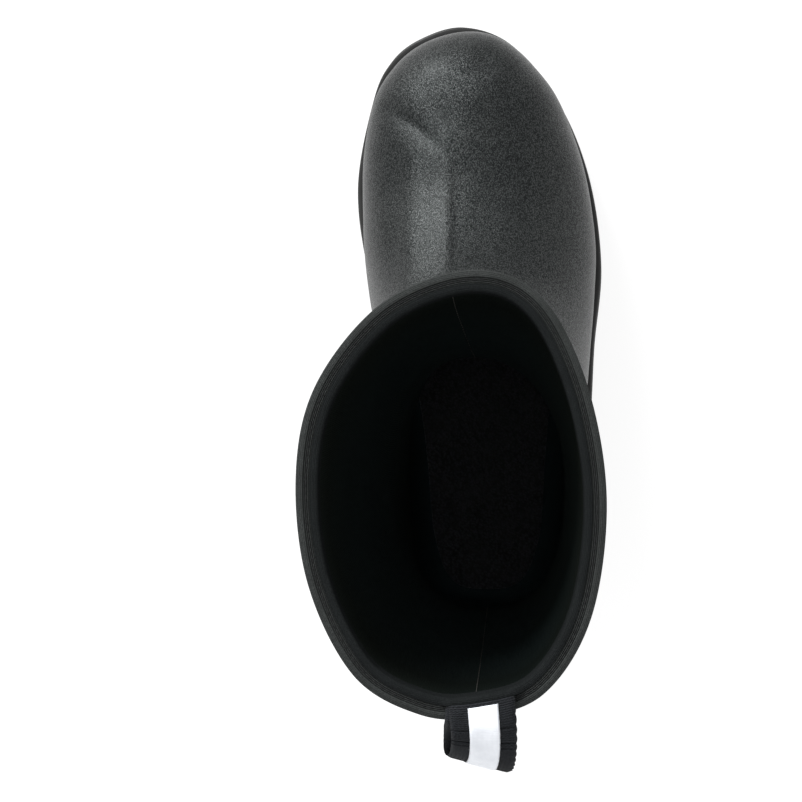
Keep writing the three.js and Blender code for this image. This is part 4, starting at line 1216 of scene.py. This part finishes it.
def build_collar():
    knit = tape_cloth("topline_knit", 0.0006, 0.0011, (0.0135, 0.0146, 0.0144), (0.03, 0.0325, 0.0318),
                      across=0.1, along=0.75, gloss=0.03)
    tape = dress(collar_ring("topline_tape", tape_profile()), knit)
    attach(tape, "shaft")
    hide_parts("collar_tape")
    inside = tape_cloth("facing_knit", 0.0006, 0.0006, (0.0068, 0.0077, 0.008), (0.0108, 0.012, 0.0122),
                        across=0.2, along=0.4, gloss=0.0)
    facing = dress(collar_ring("topline_facing", facing_profile()), inside)
    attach(facing, "shaft")
    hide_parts("collar_facing")
    sewing = thread("topline_thread", (0.012, 0.0125, 0.013))
    phi = np.linspace(0.001, TURN - 0.001, 1400)
    for name, depth, height, lift in (("topline_stitches", -2.05, 1.5, 0.05),
                                      ("tape_side_stitches", 1.4, TAPE_STITCH_Z, 0.1)):
        path, normal = topline_points(phi, depth, height)
        path[:, 2] -= 0.1
        up = normal if height < 0 else np.broadcast_to([0.0, 0.0, 1.0], normal.shape)
        rows = dress(stitches(name, path, up, 2.6, 2.2, 0.2, lift), sewing)
        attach(rows, "shaft")


def build_loop():
    webbing = loop_strip("loop_strap", 0, 1, LOOP_X, LOOP_WIDTH, 0, LOOP_THICK, 0.09, 0.75, 560)
    grosgrain = tape_cloth("loop_grosgrain", 0.0013, 0.00075, (0.0015, 0.0017, 0.0021),
                           (0.0165, 0.018, 0.0205), across=0.5)
    dress(webbing, grosgrain)
    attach(webbing, "pull_loop")
    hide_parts("loop_webbing")
    stripe = loop_strip("loop_white_stripe", STRIPE_FROM, STRIPE_TO, STRIPE_X, STRIPE_WIDTH,
                        LOOP_THICK / 2 + STRIPE_OFF, STRIPE_THICK, 0.012, 0.6, 240)
    dress(stripe, stripe_tape())
    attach(stripe, "pull_loop")
    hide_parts("loop_stripe")


def build_footbed():
    top = FOOTBED_UNDER + FOOTBED
    pad = dress(footbed_plate("footbed_pad", FOOTBED_UNDER, top, 0.0, 0.3),
                cellular("footbed_foam_cells", (0.035, 0.036, 0.038), (0.06, 0.061, 0.063), 1400, 0.85))
    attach(pad, "footbed")
    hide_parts("footbed_foam")
    cover = footbed_plate("footbed_brushed_cover", top + 0.05, top + FOOTBED_COVER, 1.0, 0.9)
    dress(cover, flocked_cloth())
    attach(cover, "footbed")
    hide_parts("footbed_cover")


def dress_cad_nodes():
    """The inner pieces keep their CAD shape."""
    foam = cellular("midsole_foam_cells", (0.035, 0.036, 0.037), (0.06, 0.061, 0.062), 900, 0.85)
    felt = cellular("stiffener_felt", (0.2, 0.19, 0.17), (0.32, 0.3, 0.26), 1200, 0.88)
    for node, material in (("midsole", foam), ("shank", rolled_steel()), ("insole_board", fibre_board()),
                           ("toe_puff", felt), ("heel_counter", felt)):
        dress(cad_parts[node], material)


# === Floor and light ===

FLOOR_HALF, FLOOR_Z = 6000, -0.4
KEY_AT, KEY_AIM, KEY_SIZE, KEY_POWER = (809, -1352, 945), (29, -104, 95), (0.7, 1.1), 48


def build_floor():
    corners = [[x, y, FLOOR_Z] for x, y in FLOOR_HALF * np.array([[-1, -1], [1, -1], [1, 1], [-1, 1]])]
    m = Shader("floor_white", Specular_IOR_Level=0.0, Roughness=0.95, Emission_Color=(1, 1, 1, 1),
               Emission_Strength=0.815)
    tone = m.mix(m.noise(3, 2), (0.23, 0.23, 0.23), (0.22, 0.22, 0.22))
    floor = dress(make_object("floor", corners, [[0, 1, 2, 3]]), m.finish(tone))
    floor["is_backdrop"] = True


def add_area(name, at, aim, size, energy):
    light = bpy.data.objects.new(name, bpy.data.lights.new(name, "AREA"))
    light.data.shape = "RECTANGLE"
    light.data.size, light.data.size_y = size
    light.data.energy = energy
    light.location = placed(at)
    direction = placed(aim) - placed(at)
    light.rotation_euler = direction.to_track_quat("-Z", "Y").to_euler()
    bpy.context.scene.collection.objects.link(light)


def build_light():
    """A pale tent, brightest at mid height and dimmer on the outer side, and one tall soft light."""
    world = bpy.data.worlds.new("studio")
    world.use_nodes = True
    sky = Nodes(world.node_tree)
    towards = sky.node("ShaderNodeTexCoord").outputs["Generated"]
    x, _, z = sky.node("ShaderNodeSeparateXYZ", {0: towards}).outputs
    tent = sky.math("MULTIPLY", sky.spread(z, 0.2, 0.55, 0.8, 1.2), sky.spread(z, 0.7, 0.95, 1.0, 0.7))
    tent = sky.math("MULTIPLY", tent, sky.spread(x, -0.75, -0.1, 0.95, 1.05))
    strength = sky.math("MAXIMUM", tent, sky.spread(z, 0.05, 0.18, 1.05, 0.0))
    background = sky.tree.nodes["Background"]
    background.inputs["Color"].default_value = (1, 1, 1, 1)
    sky.tree.links.new(strength, background.inputs["Strength"])
    bpy.context.scene.world = world
    add_area("key", KEY_AT, KEY_AIM, KEY_SIZE, KEY_POWER)
    bpy.context.scene.view_settings.view_transform = "Standard"


build_sole()
build_upper()
build_seams()
build_collar()
build_loop()
build_footbed()
dress_cad_nodes()
build_floor()
build_light()

plain = lambda bounds: [list(map(float, corner)) for corner in bounds]
{"cad": plain(CAD_BOUNDS), "visual": plain(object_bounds())}
